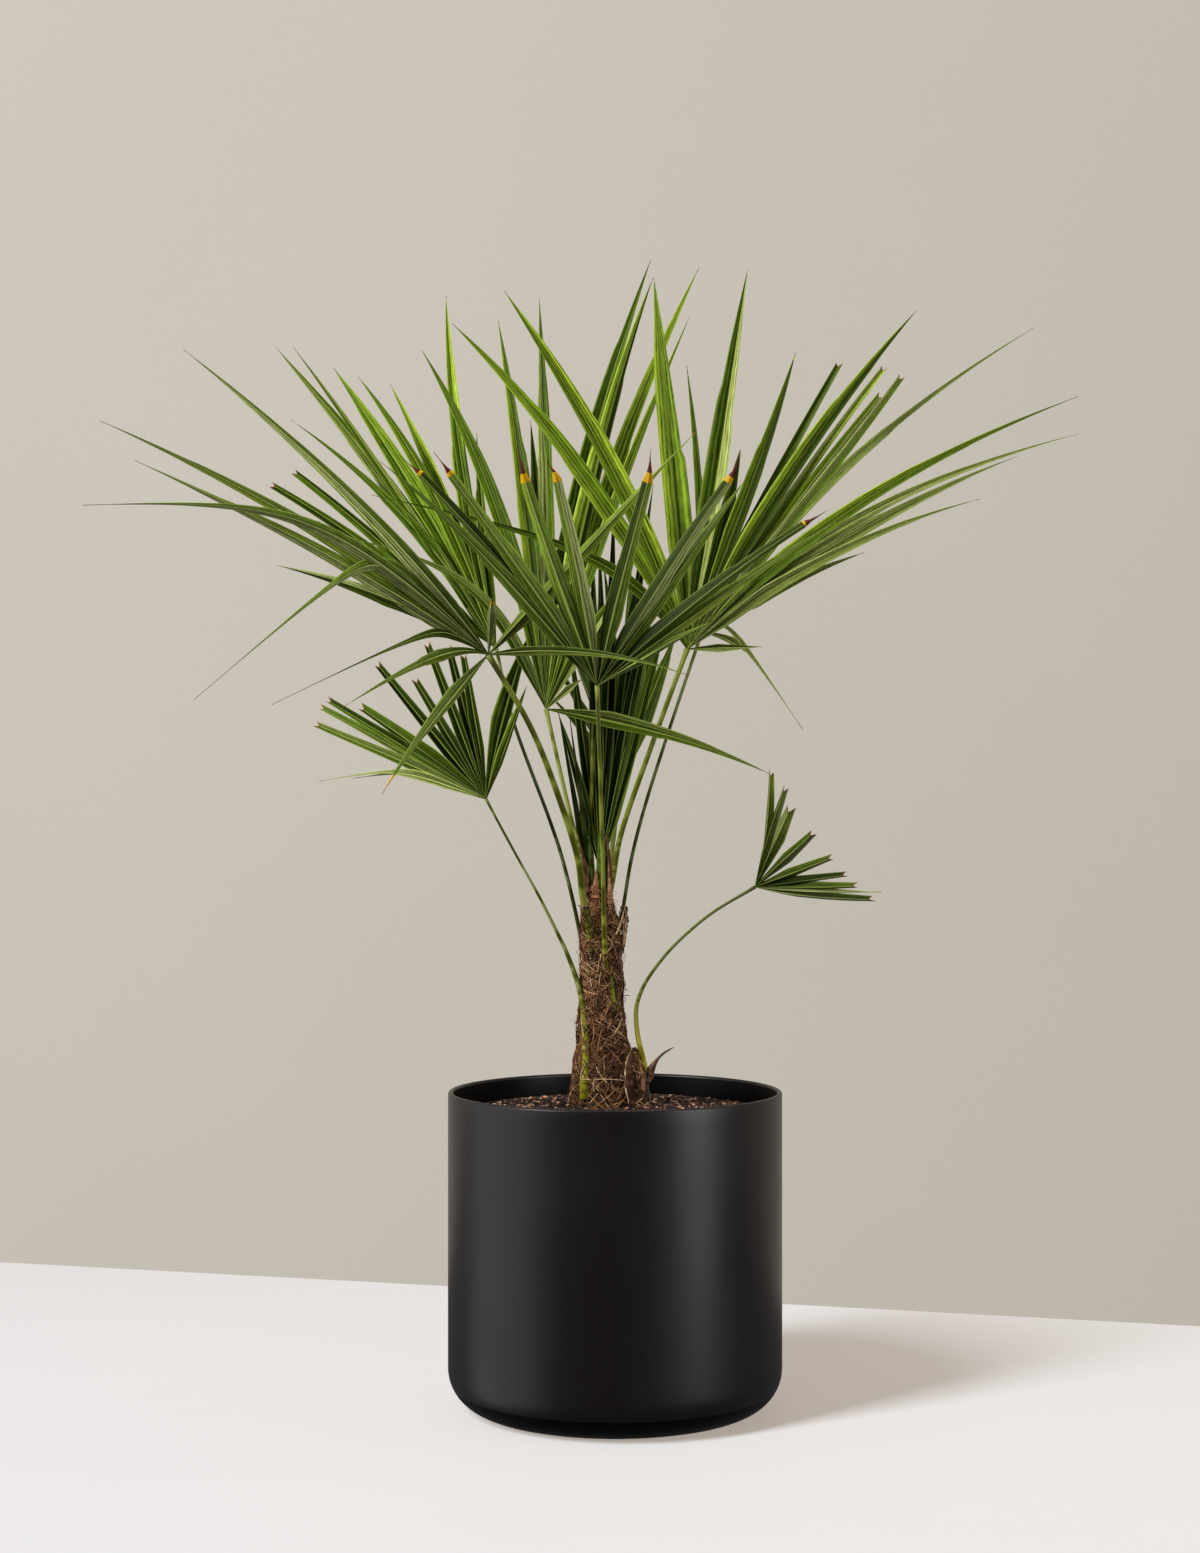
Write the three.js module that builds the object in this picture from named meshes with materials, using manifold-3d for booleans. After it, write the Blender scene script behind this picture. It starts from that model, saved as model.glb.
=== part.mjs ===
// A potted windmill palm: a plain round planter filled with bark soil, a short fibrous trunk,
// and a crown of fan leaves, each on its own slender stalk. Millimetres, +Z up, origin at the
// centre of the pot's flat underside. The front of the plant faces -Y.
import * as THREE from "three";
import { mergeVertices } from "three/addons/utils/BufferGeometryUtils.js";
import Module from "manifold-3d";

const wasm = await Module();
wasm.setup();

// Clearance between neighbouring pieces.
const gap = 0.3;

// Pot
const potRadius = 150;
const potHeight = 284;
const potFootRound = 37;
const potWall = 4.5;
const potFloor = 7;
const potSegments = 44;

// Soil: it lies lower at the wall than in the middle, where the trunk stands.
const soilAtWall = 262;
const soilLevel = 271;
const soilFlatRadius = 52;

// Trunk: [height above the soil, radius], from the flared foot to the tip.
const trunkAxis = -10;
const trunkLean = -4.5;
const trunkProfile = [
  [0, 32], [30, 27.5], [58, 22], [85, 19.2], [112, 18], [140, 17.2], [162, 15.6], [178, 13.4],
  [194, 11], [208, 8],
];
const trunkSides = 14;
const trunkWave = 0.06;

// Stalks
const stalkSides = 8;
const stalkSteps = 12;

// Leaflets
const hubRadius = 5;
const foldRise = 0.34;
const fusedOverlap = 0.5;
const widestPleat = 14;
const narrowestPleat = 7;
const leafletSlenderness = 92;
const thinnestLeaflet = 3.4;
const tipWidth = 1.6;
const taperStart = 0.3;
const uprightLean = 38;
const uprightTaper = 2.3;
const slimTaper = 1.1;
const cutTaper = 0.5;
const stagger = 0.03;
const leafletStations = [0, 0.13, 0.3, 0.52, 0.77, 1];
const headingStep = 0.02;
const clearingBends = [0, 14, -14, 28, -28, 42, -42];

// The crown is set out as seen from the front, from this eye point. A seen point is measured in
// the upright plane through the pot's axis, and a point with a depth lies on the same sight line.
const eye = new THREE.Vector3(-13.5, -2247, 539);

// Each frond: where its hub is seen, how deep it lies, and how its blade leans away from the eye
// upwards (lift), to the right (swing) and to both sides (cup). Its upper face looks to the back
// where face is 1, and to the front where it is -1. The stalk lists seen x, seen z and depth from
// the trunk outwards, and thick its radii at the foot and at the hub, with a power where it
// narrows faster at the foot. A leaflet is [lean at the hub, lean of the tip, seen reach, width,
// 1 if its end was cut, drift of its tip to the back, share of the reach at which its knee lies,
// sharpness of the knee], with leans in degrees from upright, to the right.
const fronds = {
  front: {
    hub: [-16, 648], depth: -150, lift: -0.3, swing: 0, cup: 0, face: 1,
    stalk: [[-4, 372, -8], [-8, 395, -17], [-10, 440, -39], [-11, 491, -66]], thick: [2.6, 1.6],
    leaflets: [
      [-38, -44, 281, 15], [-35, -40, 268, 13], [-32, -35, 256, 15], [-21, -19, 227, 16],
      [-9, -11, 208, 15], [12, 14, 217, 16], [31, 33, 245, 14], [36, 35.5, 226, 14],
      [47, 52.5, 261, 13], [52, 56, 269, 13], [56, 61, 119, 13],
    ],
  },
  left: {
    hub: [-114, 676], depth: -120, lift: -0.1, swing: 0, cup: 0.3, face: 1,
    stalk: [
      [-19, 412, -9], [-24, 433, -17], [-29, 459, -28], [-33, 491, -40], [-50, 546, -62],
      [-76, 611, -90],
    ],
    thick: [3.7, 2.2],
    leaflets: [
      [-137, -143, 158, 12], [-69, -110, 139, 14, 0, 0, 0.26, 1.5], [-56, -103, 200, 9, 0, 0, 0.26, 4],
      [-55, -67, 207, 18], [-56, -61, 363, 13], [-48, -52, 194, 11], [-50, -59, 408, 13],
      [-37, -45, 388, 14], [4, 4, 51, 14], [43, 43, 274, 13], [82, 96, 181, 8, 0, -80],
      [-45.3, -98.5, 268, 16, 0, -30, 0.53, 5], [-47.5, -69.8, 389, 13, 0, -35, 0.53, 2.2],
    ],
  },
  left_rear: {
    hub: [-107, 682], depth: 60, lift: 0.1, swing: -0.3, cup: 0, face: -1,
    stalk: [[-22, 380, 8], [-29, 395, 14], [-31, 421, 20], [-47, 491, 32], [-58, 525, 38], [-93, 621, 52]],
    thick: [2, 1.5],
    leaflets: [
      [-49, -54, 250, 12, 1], [-46, -49, 241, 12, 1], [-27, -42, 276, 15], [-31, -36, 334, 15],
      [-31.5, -34, 326, 9], [-24, -30, 292, 20], [-16, -27, 273, 14],
      [-16, -22, 256, 14], [-12, -10, 260, 11], [-14, -8, 321, 16], [-7, -5, 194, 12],
    ],
  },
  mid: {
    hub: [-62, 627], depth: 10, lift: 0.15, swing: 0, cup: 0.25, face: -1,
    stalk: [[-14, 452, 1], [-22, 473, 3], [-35, 512, 5]], thick: [2.4, 1.7],
    leaflets: [
      [-23, -51, 254, 12, 0, 0, 0.52, 2], [-8, -19, 342, 16], [-5, -7, 353, 17], [-3, -3, 260, 16],
      [1.5, -1, 369, 16], [5, 13, 416, 18], [9, 14, 400, 18], [13, 19, 419, 17], [17, 20, 375, 10],
      [30, 31, 126, 17], [48, 50, 42, 14], [98, 106, 210, 15],
    ],
  },
  right: {
    hub: [65, 681], depth: 10, lift: -0.1, swing: 0, cup: 0.22, face: -1,
    stalk: [[-6, 455, 4], [-2, 475, 7], [5, 513, 9], [34, 597, 10]], thick: [2.8, 2.1],
    leaflets: [
      [-30, -64, 317, 13, 0, 0, 0.32, 1.6], [-26, -36, 362, 17], [-18, -27, 362, 18], [-4, -5, 335, 24],
      [10, 9, 345, 22], [16, 15, 186, 14], [22, 20, 284, 15], [27, 28, 292, 11, 1], [27, 34, 368, 15],
      [33, 35, 310, 10, 1], [40, 38, 313, 11, 1], [35, 47, 425, 13], [43, 57, 419, 14],
      [45, 61, 402, 13], [50.5, 63, 296, 12], [88, 88, 68, 9],
    ],
  },
  right_rear: {
    hub: [78, 696], depth: 90, lift: 0.12, swing: 0.3, cup: 0, face: -1,
    stalk: [[2, 420, 8], [6.5, 443, 20], [14.5, 491, 34], [25, 533, 46], [45, 597, 64]], thick: [1.8, 1.5],
    leaflets: [
      [-8, -7, 129, 12], [0, -3, 241, 9], [12, 12, 168, 14], [36, 37, 268, 17, 1], [53, 61, 325, 17],
      [56, 64, 163, 15], [55, 134, 126, 13, 0, 0, 0.21, 3], [96, 118, 58, 12],
    ],
  },
  low_left: {
    hub: [-116, 546], depth: -20, lift: 0.6, swing: -0.3, cup: 0, face: -1,
    stalk: [
      [-27, 276, -27], [-26, 316, -19], [-28.5, 359, -9], [-33, 379, -8], [-44, 409, -9],
      [-54.5, 431, -11], [-68, 458, -14], [-83, 485, -16], [-100, 516, -18],
    ],
    thick: [5.2, 1.1, 2.8],
    leaflets: [
      [-69, -84, 151, 10, 0, 0, 0.53, 3], [-69, -81, 121, 10, 0, 0, 0.6, 3], [-65, -66, 168, 11, 1],
      [-60, -61, 170, 11, 1], [-56, -58, 168, 11, 1], [-50, -54, 140, 15, 1], [-38, -39, 157, 12, 1],
      [-30, -31, 126, 12, 1], [-20, -21, 150, 12, 1], [-13, -14, 141, 12, 1], [-7, -9, 132, 12, 1],
      [8, 15, 154, 19], [19, 20, 108, 9],
    ],
  },
  low_right: {
    hub: [126, 467], depth: 0, lift: -0.7, swing: -0.9, cup: 0, face: 1,
    stalk: [
      [24, 283, -4], [27, 301, -6], [20.5, 333, -6], [19, 356, -5], [22, 369, -5], [28, 382, -4],
      [40, 399, -3], [53, 414, -2], [85, 442, -1],
    ],
    thick: [2.9, 1.3, 2],
    leaflets: [
      [17, 8, 105, 10, 1], [15, 17, 94, 10, 1], [26, 24, 78, 16, 1], [47, 47, 72, 12, 1],
      [68, 69, 74, 10, 1], [82, 82, 83, 10, 1], [89, 89, 92, 10, 1], [95, 92, 114, 8],
      [100, 96, 107, 10, 1],
    ],
  },
  centre: {
    hub: [-14, 484.7], depth: 3, lift: 0.3, swing: 0, cup: 0, face: -1,
    leaflets: [
      [-12, -15, 145, 9], [-6, -8, 207, 12], [-2, -1, 288, 13], [1, 0, 297, 12],
      [4, 2, 331, 14], [8, 8, 347, 14], [11, 11, 282, 13], [15, 15, 231, 12],
    ],
  },
  back: {
    hub: [5, 560], depth: 110, turn: 55, lift: 1.25, swing: 0, cup: 0, face: -1,
    stalk: [[-8, 438, 6], [-5, 480, 40], [1, 530, 84]], thick: [2.6, 1.9],
    leaflets: [
      [-50, -55, 150, 15], [-40, -44, 170, 16], [-29, -32, 180, 17], [-18, -20, 190, 18],
      [-7, -8, 200, 18], [4, 5, 198, 18], [14, 15, 192, 18], [23, 25, 182, 17], [31, 33, 165, 16],
    ],
  },
  rear: {
    hub: [-9, 470], depth: 120, turn: 90, lift: 0, swing: 0, cup: 0, face: -1,
    stalk: [[-9, 392, 8], [-9, 425, 50], [-9, 455, 96]], thick: [2.8, 1.9],
    leaflets: [
      [42, 46, 190, 15], [53, 58, 205, 16], [64, 70, 215, 17], [75, 82, 220, 17],
      [86, 95, 215, 17], [97, 108, 205, 16], [108, 121, 190, 15],
    ],
  },
};

// The unopened leaf beside the centre frond.
const spear = { route: [[-17, 452, 9], [-21, 490, 16], [-20, 615, 24]], thick: [3.8, 1.4] };

// The old leaf base that bulges at the foot of the trunk, and the dry bract that stands out of it.
const oldBase = { route: [[20, 262, -8], [20, 292, -7], [14, 322, -5]], thick: [13, 5] };
const bract = { route: [[27, 288, -4], [37, 311, -6], [53, 323, -8]], thick: [4, 1.5] };

const looks = {
  pot: new THREE.MeshStandardMaterial({ color: 0x242223, roughness: 0.6, metalness: 0 }),
  soil: new THREE.MeshStandardMaterial({ color: 0x3a261a, roughness: 0.95, metalness: 0 }),
  trunk: new THREE.MeshStandardMaterial({ color: 0x5b4230, roughness: 0.9, metalness: 0 }),
  husk: new THREE.MeshStandardMaterial({ color: 0x8d7047, roughness: 0.85, metalness: 0 }),
  stalk: new THREE.MeshStandardMaterial({ color: 0x7c9440, roughness: 0.5, metalness: 0 }),
  leaf: new THREE.MeshStandardMaterial({ color: 0x3f6426, roughness: 0.5, metalness: 0 }),
};

const palm = new THREE.Group();

function onSight(x, z, depth) {
  const spread = (depth - eye.y) / -eye.y;
  return new THREE.Vector3(eye.x + (x - eye.x) * spread, depth, eye.z + (z - eye.z) * spread);
}

// A closed body from a three.js geometry.
function toSolid(geometry) {
  geometry.deleteAttribute("normal");
  geometry.deleteAttribute("uv");
  const merged = mergeVertices(geometry, 1e-4);
  return new wasm.Manifold(new wasm.Mesh({
    numProp: 3,
    vertProperties: Float32Array.from(merged.attributes.position.array),
    triVerts: Uint32Array.from(merged.index.array),
  }));
}

// The largest piece of a body, with no loose scraps and no hollows sealed inside it.
function largestPiece(body) {
  return body.decompose().sort((a, b) => b.volume() - a.volume())[0];
}

function addNode(name, body, look) {
  const mesh = body.getMesh();
  const geometry = new THREE.BufferGeometry();
  geometry.setAttribute("position", new THREE.BufferAttribute(mesh.vertProperties, 3));
  geometry.setIndex(new THREE.BufferAttribute(mesh.triVerts, 1));
  geometry.computeVertexNormals();
  const part = new THREE.Mesh(geometry, look.clone());
  part.name = name;
  palm.add(part);
}

// A cylinder whose rings are laid out anew: cornerAt gives the place of each corner of the ring
// at a share of the length, and of the ring's centre, which is corner -1.
function sweep(sides, steps, cornerAt) {
  const geometry = new THREE.CylinderGeometry(1, 1, 1, sides, steps);
  const position = geometry.attributes.position;
  const point = new THREE.Vector3();
  for (let i = 0; i < position.count; i++) {
    point.fromBufferAttribute(position, i);
    const isCentre = Math.hypot(point.x, point.z) < 0.5;
    const turn = Math.atan2(point.x, point.z) / (2 * Math.PI);
    const corner = isCentre ? -1 : Math.round((turn + 1) * sides) % sides;
    const placed = cornerAt(point.y + 0.5, corner);
    position.setXYZ(i, placed.x, placed.y, placed.z);
  }
  return toSolid(geometry);
}

// A round limb along a route of points, tapering from thick to thin, faster at its foot where the
// power is above 1.
function limb(points, [thick, thin, power = 1], extra = 0) {
  const curve = new THREE.CatmullRomCurve3(points, false, "centripetal");
  const side = new THREE.Vector3(1, 0, 0);
  return sweep(stalkSides, stalkSteps, (along, corner) => {
    const centre = curve.getPoint(along);
    if (corner < 0) return centre;
    const forward = curve.getTangent(along);
    const a = new THREE.Vector3().crossVectors(forward, side).normalize();
    const b = new THREE.Vector3().crossVectors(forward, a);
    const angle = 2 * Math.PI * corner / stalkSides;
    const radius = thin + (thick - thin) * (1 - along) ** power + extra;
    return centre.addScaledVector(a, radius * Math.cos(angle)).addScaledVector(b, radius * Math.sin(angle));
  });
}

function lathe(profile, segments) {
  const points = profile.map(([r, z]) => new THREE.Vector2(r, z));
  const geometry = new THREE.LatheGeometry(points, segments);
  geometry.rotateX(Math.PI / 2);
  return toSolid(geometry);
}

// A quarter turn of a rounded corner in a profile.
function round(centreR, centreZ, radius, from, to, steps) {
  const arc = [];
  for (let i = 0; i <= steps; i++) {
    const angle = THREE.MathUtils.degToRad(from + (to - from) * i / steps);
    arc.push([centreR + radius * Math.cos(angle), centreZ + radius * Math.sin(angle)]);
  }
  return arc;
}

function makePot() {
  const inner = potRadius - potWall;
  const lip = potWall / 2;
  return lathe([
    [0, 0],
    ...round(potRadius - potFootRound, potFootRound, potFootRound, -90, 0, 6),
    ...round(potRadius - lip, potHeight - lip, lip, 0, 180, 4),
    ...round(inner - potFootRound, potFloor + potFootRound, potFootRound, 0, -90, 4),
    [0, potFloor],
  ], potSegments);
}

function makeSoil(extra = 0) {
  const outer = potRadius - potWall - gap;
  const foot = potFootRound;
  return lathe([
    [0, potFloor + gap],
    ...round(outer - foot, potFloor + gap + foot, foot, -90, 0, 4),
    [outer, soilAtWall + extra],
    [outer - 30, soilAtWall + 5 + extra],
    [soilFlatRadius + 20, soilLevel - 1 + extra],
    [soilFlatRadius, soilLevel + extra],
    [0, soilLevel + extra],
  ], potSegments);
}

// The trunk is grown by extra where something else is cut clear of it.
function makeTrunk(extra = 0) {
  const foot = soilLevel + gap;
  const steps = trunkProfile.length - 1;
  const top = trunkProfile[steps][0];
  return sweep(trunkSides, steps, (along, corner) => {
    const [height, radius] = trunkProfile[Math.round(along * steps)];
    const lean = trunkLean * height / top;
    const end = along === 0 ? -extra : along === 1 ? extra : 0;
    const centre = new THREE.Vector3(trunkAxis + lean, 0, foot + height + end);
    if (corner < 0) return centre;
    const angle = 2 * Math.PI * corner / trunkSides;
    const wave = 1 + trunkWave * Math.sin(3 * angle + height / 17);
    const reach = radius * wave + extra;
    return centre.add(new THREE.Vector3(reach * Math.cos(angle), reach * Math.sin(angle), 0));
  });
}

function spread(points) {
  return points.map(([x, z, depth]) => onSight(x, z, depth));
}

function direction(lean) {
  const angle = THREE.MathUtils.degToRad(lean);
  return new THREE.Vector2(Math.sin(angle), Math.cos(angle));
}

// Where a point of a frond's blade lies, u to the right of the hub and v above it as seen.
function onBlade(frond, u, v, offset) {
  const turn = THREE.MathUtils.degToRad(frond.turn || 0);
  const lean = frond.lift * v + frond.swing * u - frond.cup * Math.abs(u);
  const depth = frond.depth + lean + u * Math.sin(turn) + offset;
  return onSight(frond.hub[0] + u * Math.cos(turn), frond.hub[1] + v, depth);
}

// Half the width of a leaflet at a share of its length, without the pleats at the hub. The upright
// ones stay wide for longer.
function halfWidth(along, [, tipLean, , width, isCut]) {
  const taperPower = Math.abs(tipLean) < uprightLean ? uprightTaper : slimTaper;
  const tail = Math.max(0, (along - taperStart) / (1 - taperStart));
  const taper = isCut ? 1 - cutTaper * tail : 1 - tail ** taperPower;
  return Math.max(width * taper, tipWidth) / 2;
}

// A leaflet's seen centre line: it leaves the hub towards its knee and ends at its tip, and comes
// the closer to the knee the sharper that is.
function centreLine([startLean, tipLean, reach, , , , kneeAt = 0.5, sharpness = 1], share) {
  const atHub = (1 - share) ** 2;
  const atKnee = 2 * sharpness * share * (1 - share);
  const atTip = share ** 2;
  const knee = direction(startLean).multiplyScalar(kneeAt * reach * atKnee);
  const tip = direction(tipLean).multiplyScalar(reach * atTip);
  return knee.add(tip).divideScalar(atHub + atKnee + atTip);
}

// One leaflet: a folded blade, thickest along its midrib. The pleats are the angles to the
// leaflets beside it, and near the hub its edges reach theirs.
function makeLeaflet(frond, index, pleats, bend, extra) {
  const leaflet = frond.leaflets[index];
  const [, , reach, width, , drift = 0] = leaflet;
  const side = index % 2 ? stagger : -stagger;
  const thickness = Math.max(thinnestLeaflet, reach / leafletSlenderness);
  const steps = leafletStations.length - 1;

  return sweep(4, steps, (along, corner) => {
    const share = leafletStations[Math.round(along * steps)];
    const flat = centreLine(leaflet, share);
    const before = centreLine(leaflet, Math.max(0, share - headingStep));
    const heading = centreLine(leaflet, Math.min(1, share + headingStep)).sub(before).normalize();
    const out = flat.length();
    const offset = side * out + drift * share + bend * share * share;
    const centre = onBlade(frond, flat.x, flat.y, offset);
    const ahead = onBlade(frond, flat.x + heading.x, flat.y + heading.y, offset);
    const beside = onBlade(frond, flat.x + heading.y, flat.y - heading.x, offset);
    const forward = ahead.sub(centre).normalize();
    const normal = new THREE.Vector3().crossVectors(forward, beside.sub(centre));
    normal.normalize().multiplyScalar(frond.face);
    const across = new THREE.Vector3().crossVectors(forward, normal);

    const full = halfWidth(share, leaflet);
    const deep = Math.max(thickness * Math.min(1, 0.35 + 2 * full / width), 1.2) + 2 * extra;
    if (corner === 0) return centre.addScaledVector(normal, extra);
    if (corner === 2) return centre.addScaledVector(normal, extra - deep);
    if (corner < 0) return centre.addScaledVector(normal, extra - deep / 2);
    const rightHand = (corner === 1) === (frond.face < 0);
    const pleat = THREE.MathUtils.degToRad(rightHand ? pleats[1] : pleats[0]) / 2;
    const half = Math.min(out * Math.tan(pleat) + fusedOverlap, full) + extra;
    const edge = corner === 1 ? half : -half;
    return centre.addScaledVector(across, edge).addScaledVector(normal, half * foldRise);
  });
}

function pleatsOf(frond, index) {
  const leans = frond.leaflets.map((leaflet) => leaflet[0]);
  const here = leans[index];
  const left = leans.filter((lean) => lean < here).map((lean) => here - lean);
  const right = leans.filter((lean) => lean > here).map((lean) => lean - here);
  return [left, right].map((gaps) => Math.max(narrowestPleat, Math.min(widestPleat, ...gaps)));
}

function overlaps(body, others) {
  return others.some((other) => body.intersect(other).volume() > 1e-6);
}

// A frond's leaflets and its hub as one body. A leaflet that would touch something else is bent a
// little to the back or the front until it is clear, and is left out where no bend clears it.
function makeFrond(frond, others) {
  const hub = onBlade(frond, 0, 0, 0);
  const ball = new THREE.IcosahedronGeometry(hubRadius, 1);
  ball.translate(hub.x, hub.y, hub.z);
  let body = toSolid(ball);
  frond.leaflets.forEach((leaflet, index) => {
    const pleats = pleatsOf(frond, index);
    const bend = clearingBends.find((b) => !overlaps(makeLeaflet(frond, index, pleats, b, gap), others));
    if (bend === undefined) return;
    body = body.add(makeLeaflet(frond, index, pleats, bend, 0));
  });
  return largestPiece(body);
}

const trunkSpace = makeTrunk(gap);
addNode("pot", makePot(), looks.pot);
addNode("soil", makeSoil(), looks.soil);
addNode("trunk", makeTrunk(), looks.trunk);

// Limbs in the order they stand on the trunk, each cut clear of the trunk and of those before it.
const limbSpaces = [makeSoil(gap), trunkSpace];
function addLimb(name, points, thick, look) {
  let body = limb(points, thick);
  for (const space of limbSpaces) body = body.subtract(space);
  addNode(name, largestPiece(body), look);
  limbSpaces.push(limb(points, thick, gap));
}

addLimb("old_leaf_base", spread(oldBase.route), oldBase.thick, looks.husk);
for (const [name, frond] of Object.entries(fronds)) {
  if (!frond.stalk) continue;
  const points = spread(frond.stalk);
  const hub = onBlade(frond, 0, 0, 0);
  const last = points[points.length - 1];
  const shortfall = new THREE.Vector3().subVectors(last, hub).setLength(hubRadius + gap);
  points.push(hub.add(shortfall));
  addLimb(`stalk_${name}`, points, frond.thick, looks.stalk);
}
addLimb("spear_leaf", spread(spear.route), spear.thick, looks.stalk);
addLimb("dry_bract", spread(bract.route), bract.thick, looks.husk);

const taken = [...limbSpaces];
for (const [name, frond] of Object.entries(fronds)) {
  const body = makeFrond(frond, taken);
  addNode(`frond_${name}`, body, looks.leaf);
  taken.push(body);
}

export default palm;
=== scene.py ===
import math

import bmesh
import bpy
import numpy as np
from mathutils import Matrix, Vector, noise


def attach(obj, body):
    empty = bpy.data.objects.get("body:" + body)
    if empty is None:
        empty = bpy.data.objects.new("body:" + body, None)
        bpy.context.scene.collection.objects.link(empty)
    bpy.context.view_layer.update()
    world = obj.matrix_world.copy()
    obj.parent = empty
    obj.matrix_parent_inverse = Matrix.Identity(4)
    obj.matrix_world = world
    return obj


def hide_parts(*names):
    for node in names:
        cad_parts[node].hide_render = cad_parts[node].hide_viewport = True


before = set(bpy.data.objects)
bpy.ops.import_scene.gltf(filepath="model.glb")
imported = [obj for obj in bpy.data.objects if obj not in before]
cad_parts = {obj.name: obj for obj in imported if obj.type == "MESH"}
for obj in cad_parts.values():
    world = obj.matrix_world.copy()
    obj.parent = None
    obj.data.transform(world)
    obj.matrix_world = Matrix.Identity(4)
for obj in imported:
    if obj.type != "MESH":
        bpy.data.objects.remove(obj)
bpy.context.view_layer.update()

mm = 0.001


# Node helpers

def srgb(red, green, blue):  # display values 0..255 to a linear colour
    shades = [c / 255 for c in (red, green, blue)]
    return tuple([c / 12.92 if c <= 0.04045 else ((c + 0.055) / 1.055) ** 2.4 for c in shades] + [1.0])


def addNode(tree, kind, settings=None, inputs=None):
    node = tree.nodes.new("ShaderNode" + kind)
    for key, value in (settings or {}).items():
        setattr(node, key, value)
    for key, value in (inputs or {}).items():
        if isinstance(value, bpy.types.NodeSocket):
            tree.links.new(value, node.inputs[key])
        else:
            node.inputs[key].default_value = value
    return node


def calc(tree, operation, *values):
    return addNode(tree, "Math", {"operation": operation}, dict(enumerate(values))).outputs[0]


def fade(tree, value, low, high, toLow=0.0, toHigh=1.0):
    ends = {"Value": value, "From Min": low, "From Max": high, "To Min": toLow, "To Max": toHigh}
    return addNode(tree, "MapRange", {"interpolation_type": "SMOOTHSTEP"}, ends).outputs[0]


def mixColours(tree, factor, first, second, blend="MIX"):
    node = addNode(tree, "Mix", {"data_type": "RGBA", "blend_type": blend}, {0: factor, 6: first, 7: second})
    return node.outputs[2]


def grainAt(tree, place, stretch, detail=4.0, roughness=0.55):  # noise on a stretched place, about 0.5
    scaled = addNode(tree, "Mapping", {}, {"Vector": place, "Scale": stretch}).outputs[0]
    settings = {"Vector": scaled, "Scale": 1.0, "Detail": detail, "Roughness": roughness}
    return addNode(tree, "TexNoise", {}, settings).outputs[0]


def newGroup(name, inputs):  # a finish that puts out a colour, a roughness and a height
    group = bpy.data.node_groups.new(name, "ShaderNodeTree")
    for label, kind, value in inputs:
        socket = group.interface.new_socket(name=label, in_out="INPUT", socket_type="NodeSocket" + kind)
        socket.default_value = value
    for label, kind in (("Color", "Color"), ("Roughness", "Float"), ("Height", "Float")):
        group.interface.new_socket(name=label, in_out="OUTPUT", socket_type="NodeSocket" + kind)
    return group, group.nodes.new("NodeGroupInput").outputs, group.nodes.new("NodeGroupOutput").inputs


def newMaterial(name, group, values, bump, gloss=0.5):
    material = bpy.data.materials.new(name)
    material.use_nodes = True
    tree = material.node_tree
    shader = tree.nodes["Principled BSDF"]
    shader.inputs["Specular IOR Level"].default_value = gloss
    finish = tree.nodes.new("ShaderNodeGroup")
    finish.node_tree = group
    for key, value in values.items():
        finish.inputs[key].default_value = value
    tree.links.new(finish.outputs["Color"], shader.inputs["Base Color"])
    tree.links.new(finish.outputs["Roughness"], shader.inputs["Roughness"])
    relief = addNode(tree, "Bump", {}, {"Strength": bump[0], "Distance": bump[1], "Height": finish.outputs["Height"]})
    tree.links.new(relief.outputs[0], shader.inputs["Normal"])
    material.diffuse_color = values.get("Base", (0.5, 0.5, 0.5, 1))
    return material


# Mesh helpers

def meshFrom(name, built):
    mesh = bpy.data.meshes.new(name)
    built.to_mesh(mesh)
    built.free()
    return mesh


def finishPiece(name, mesh, nodes, smooth=True):
    piece = bpy.data.objects.new(name, mesh)
    bpy.context.scene.collection.objects.link(piece)
    mesh.shade_smooth() if smooth else mesh.shade_flat()
    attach(piece, "root")
    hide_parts(*nodes)
    return piece


def joinedMesh(name, places, faces, materials, looks, maps=None):  # many small closed things as one mesh
    mesh = bpy.data.meshes.new(name)
    places = np.asarray(places, np.float32)
    faces = np.asarray(faces, np.int32)
    mesh.vertices.add(len(places))
    mesh.vertices.foreach_set("co", places.ravel())
    mesh.loops.add(faces.size)
    mesh.loops.foreach_set("vertex_index", faces.ravel())
    mesh.polygons.add(len(faces))
    mesh.polygons.foreach_set("loop_start", np.arange(0, faces.size, faces.shape[1], dtype=np.int32))
    for material in materials:
        mesh.materials.append(material)
    mesh.polygons.foreach_set("material_index", np.asarray(looks, np.int32))
    for label, corners in (maps or {}).items():
        layer = mesh.uv_layers.new(name=label)
        layer.data.foreach_set("uv", np.asarray(corners, np.float32).ravel())
    mesh.update(calc_edges=True)
    mesh.validate()
    return mesh


# Camera and stage

view = {"at": (-0.0135, -2.247, 0.539), "lens": 57.9, "rise": 0.0196}

cameraData = bpy.data.cameras.new("camera")
cameraData.lens = view["lens"]
cameraData.sensor_width = 36
cameraData.shift_y = view["rise"]
camera = bpy.data.objects.new("camera", cameraData)
camera.location = view["at"]
camera.rotation_euler = (math.pi / 2, 0, 0)
bpy.context.scene.collection.objects.link(camera)
bpy.context.scene.camera = camera
bpy.context.scene.view_settings.view_transform = "Standard"

room = {
    "wallLine": ((-0.724, 0.710), (0.610, 0.345)),  # where the wall meets the floor
    "reach": 9.0, "height": 6.0,
    "floor": srgb(236, 233, 232), "wall": srgb(203, 196, 184),
}


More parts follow.
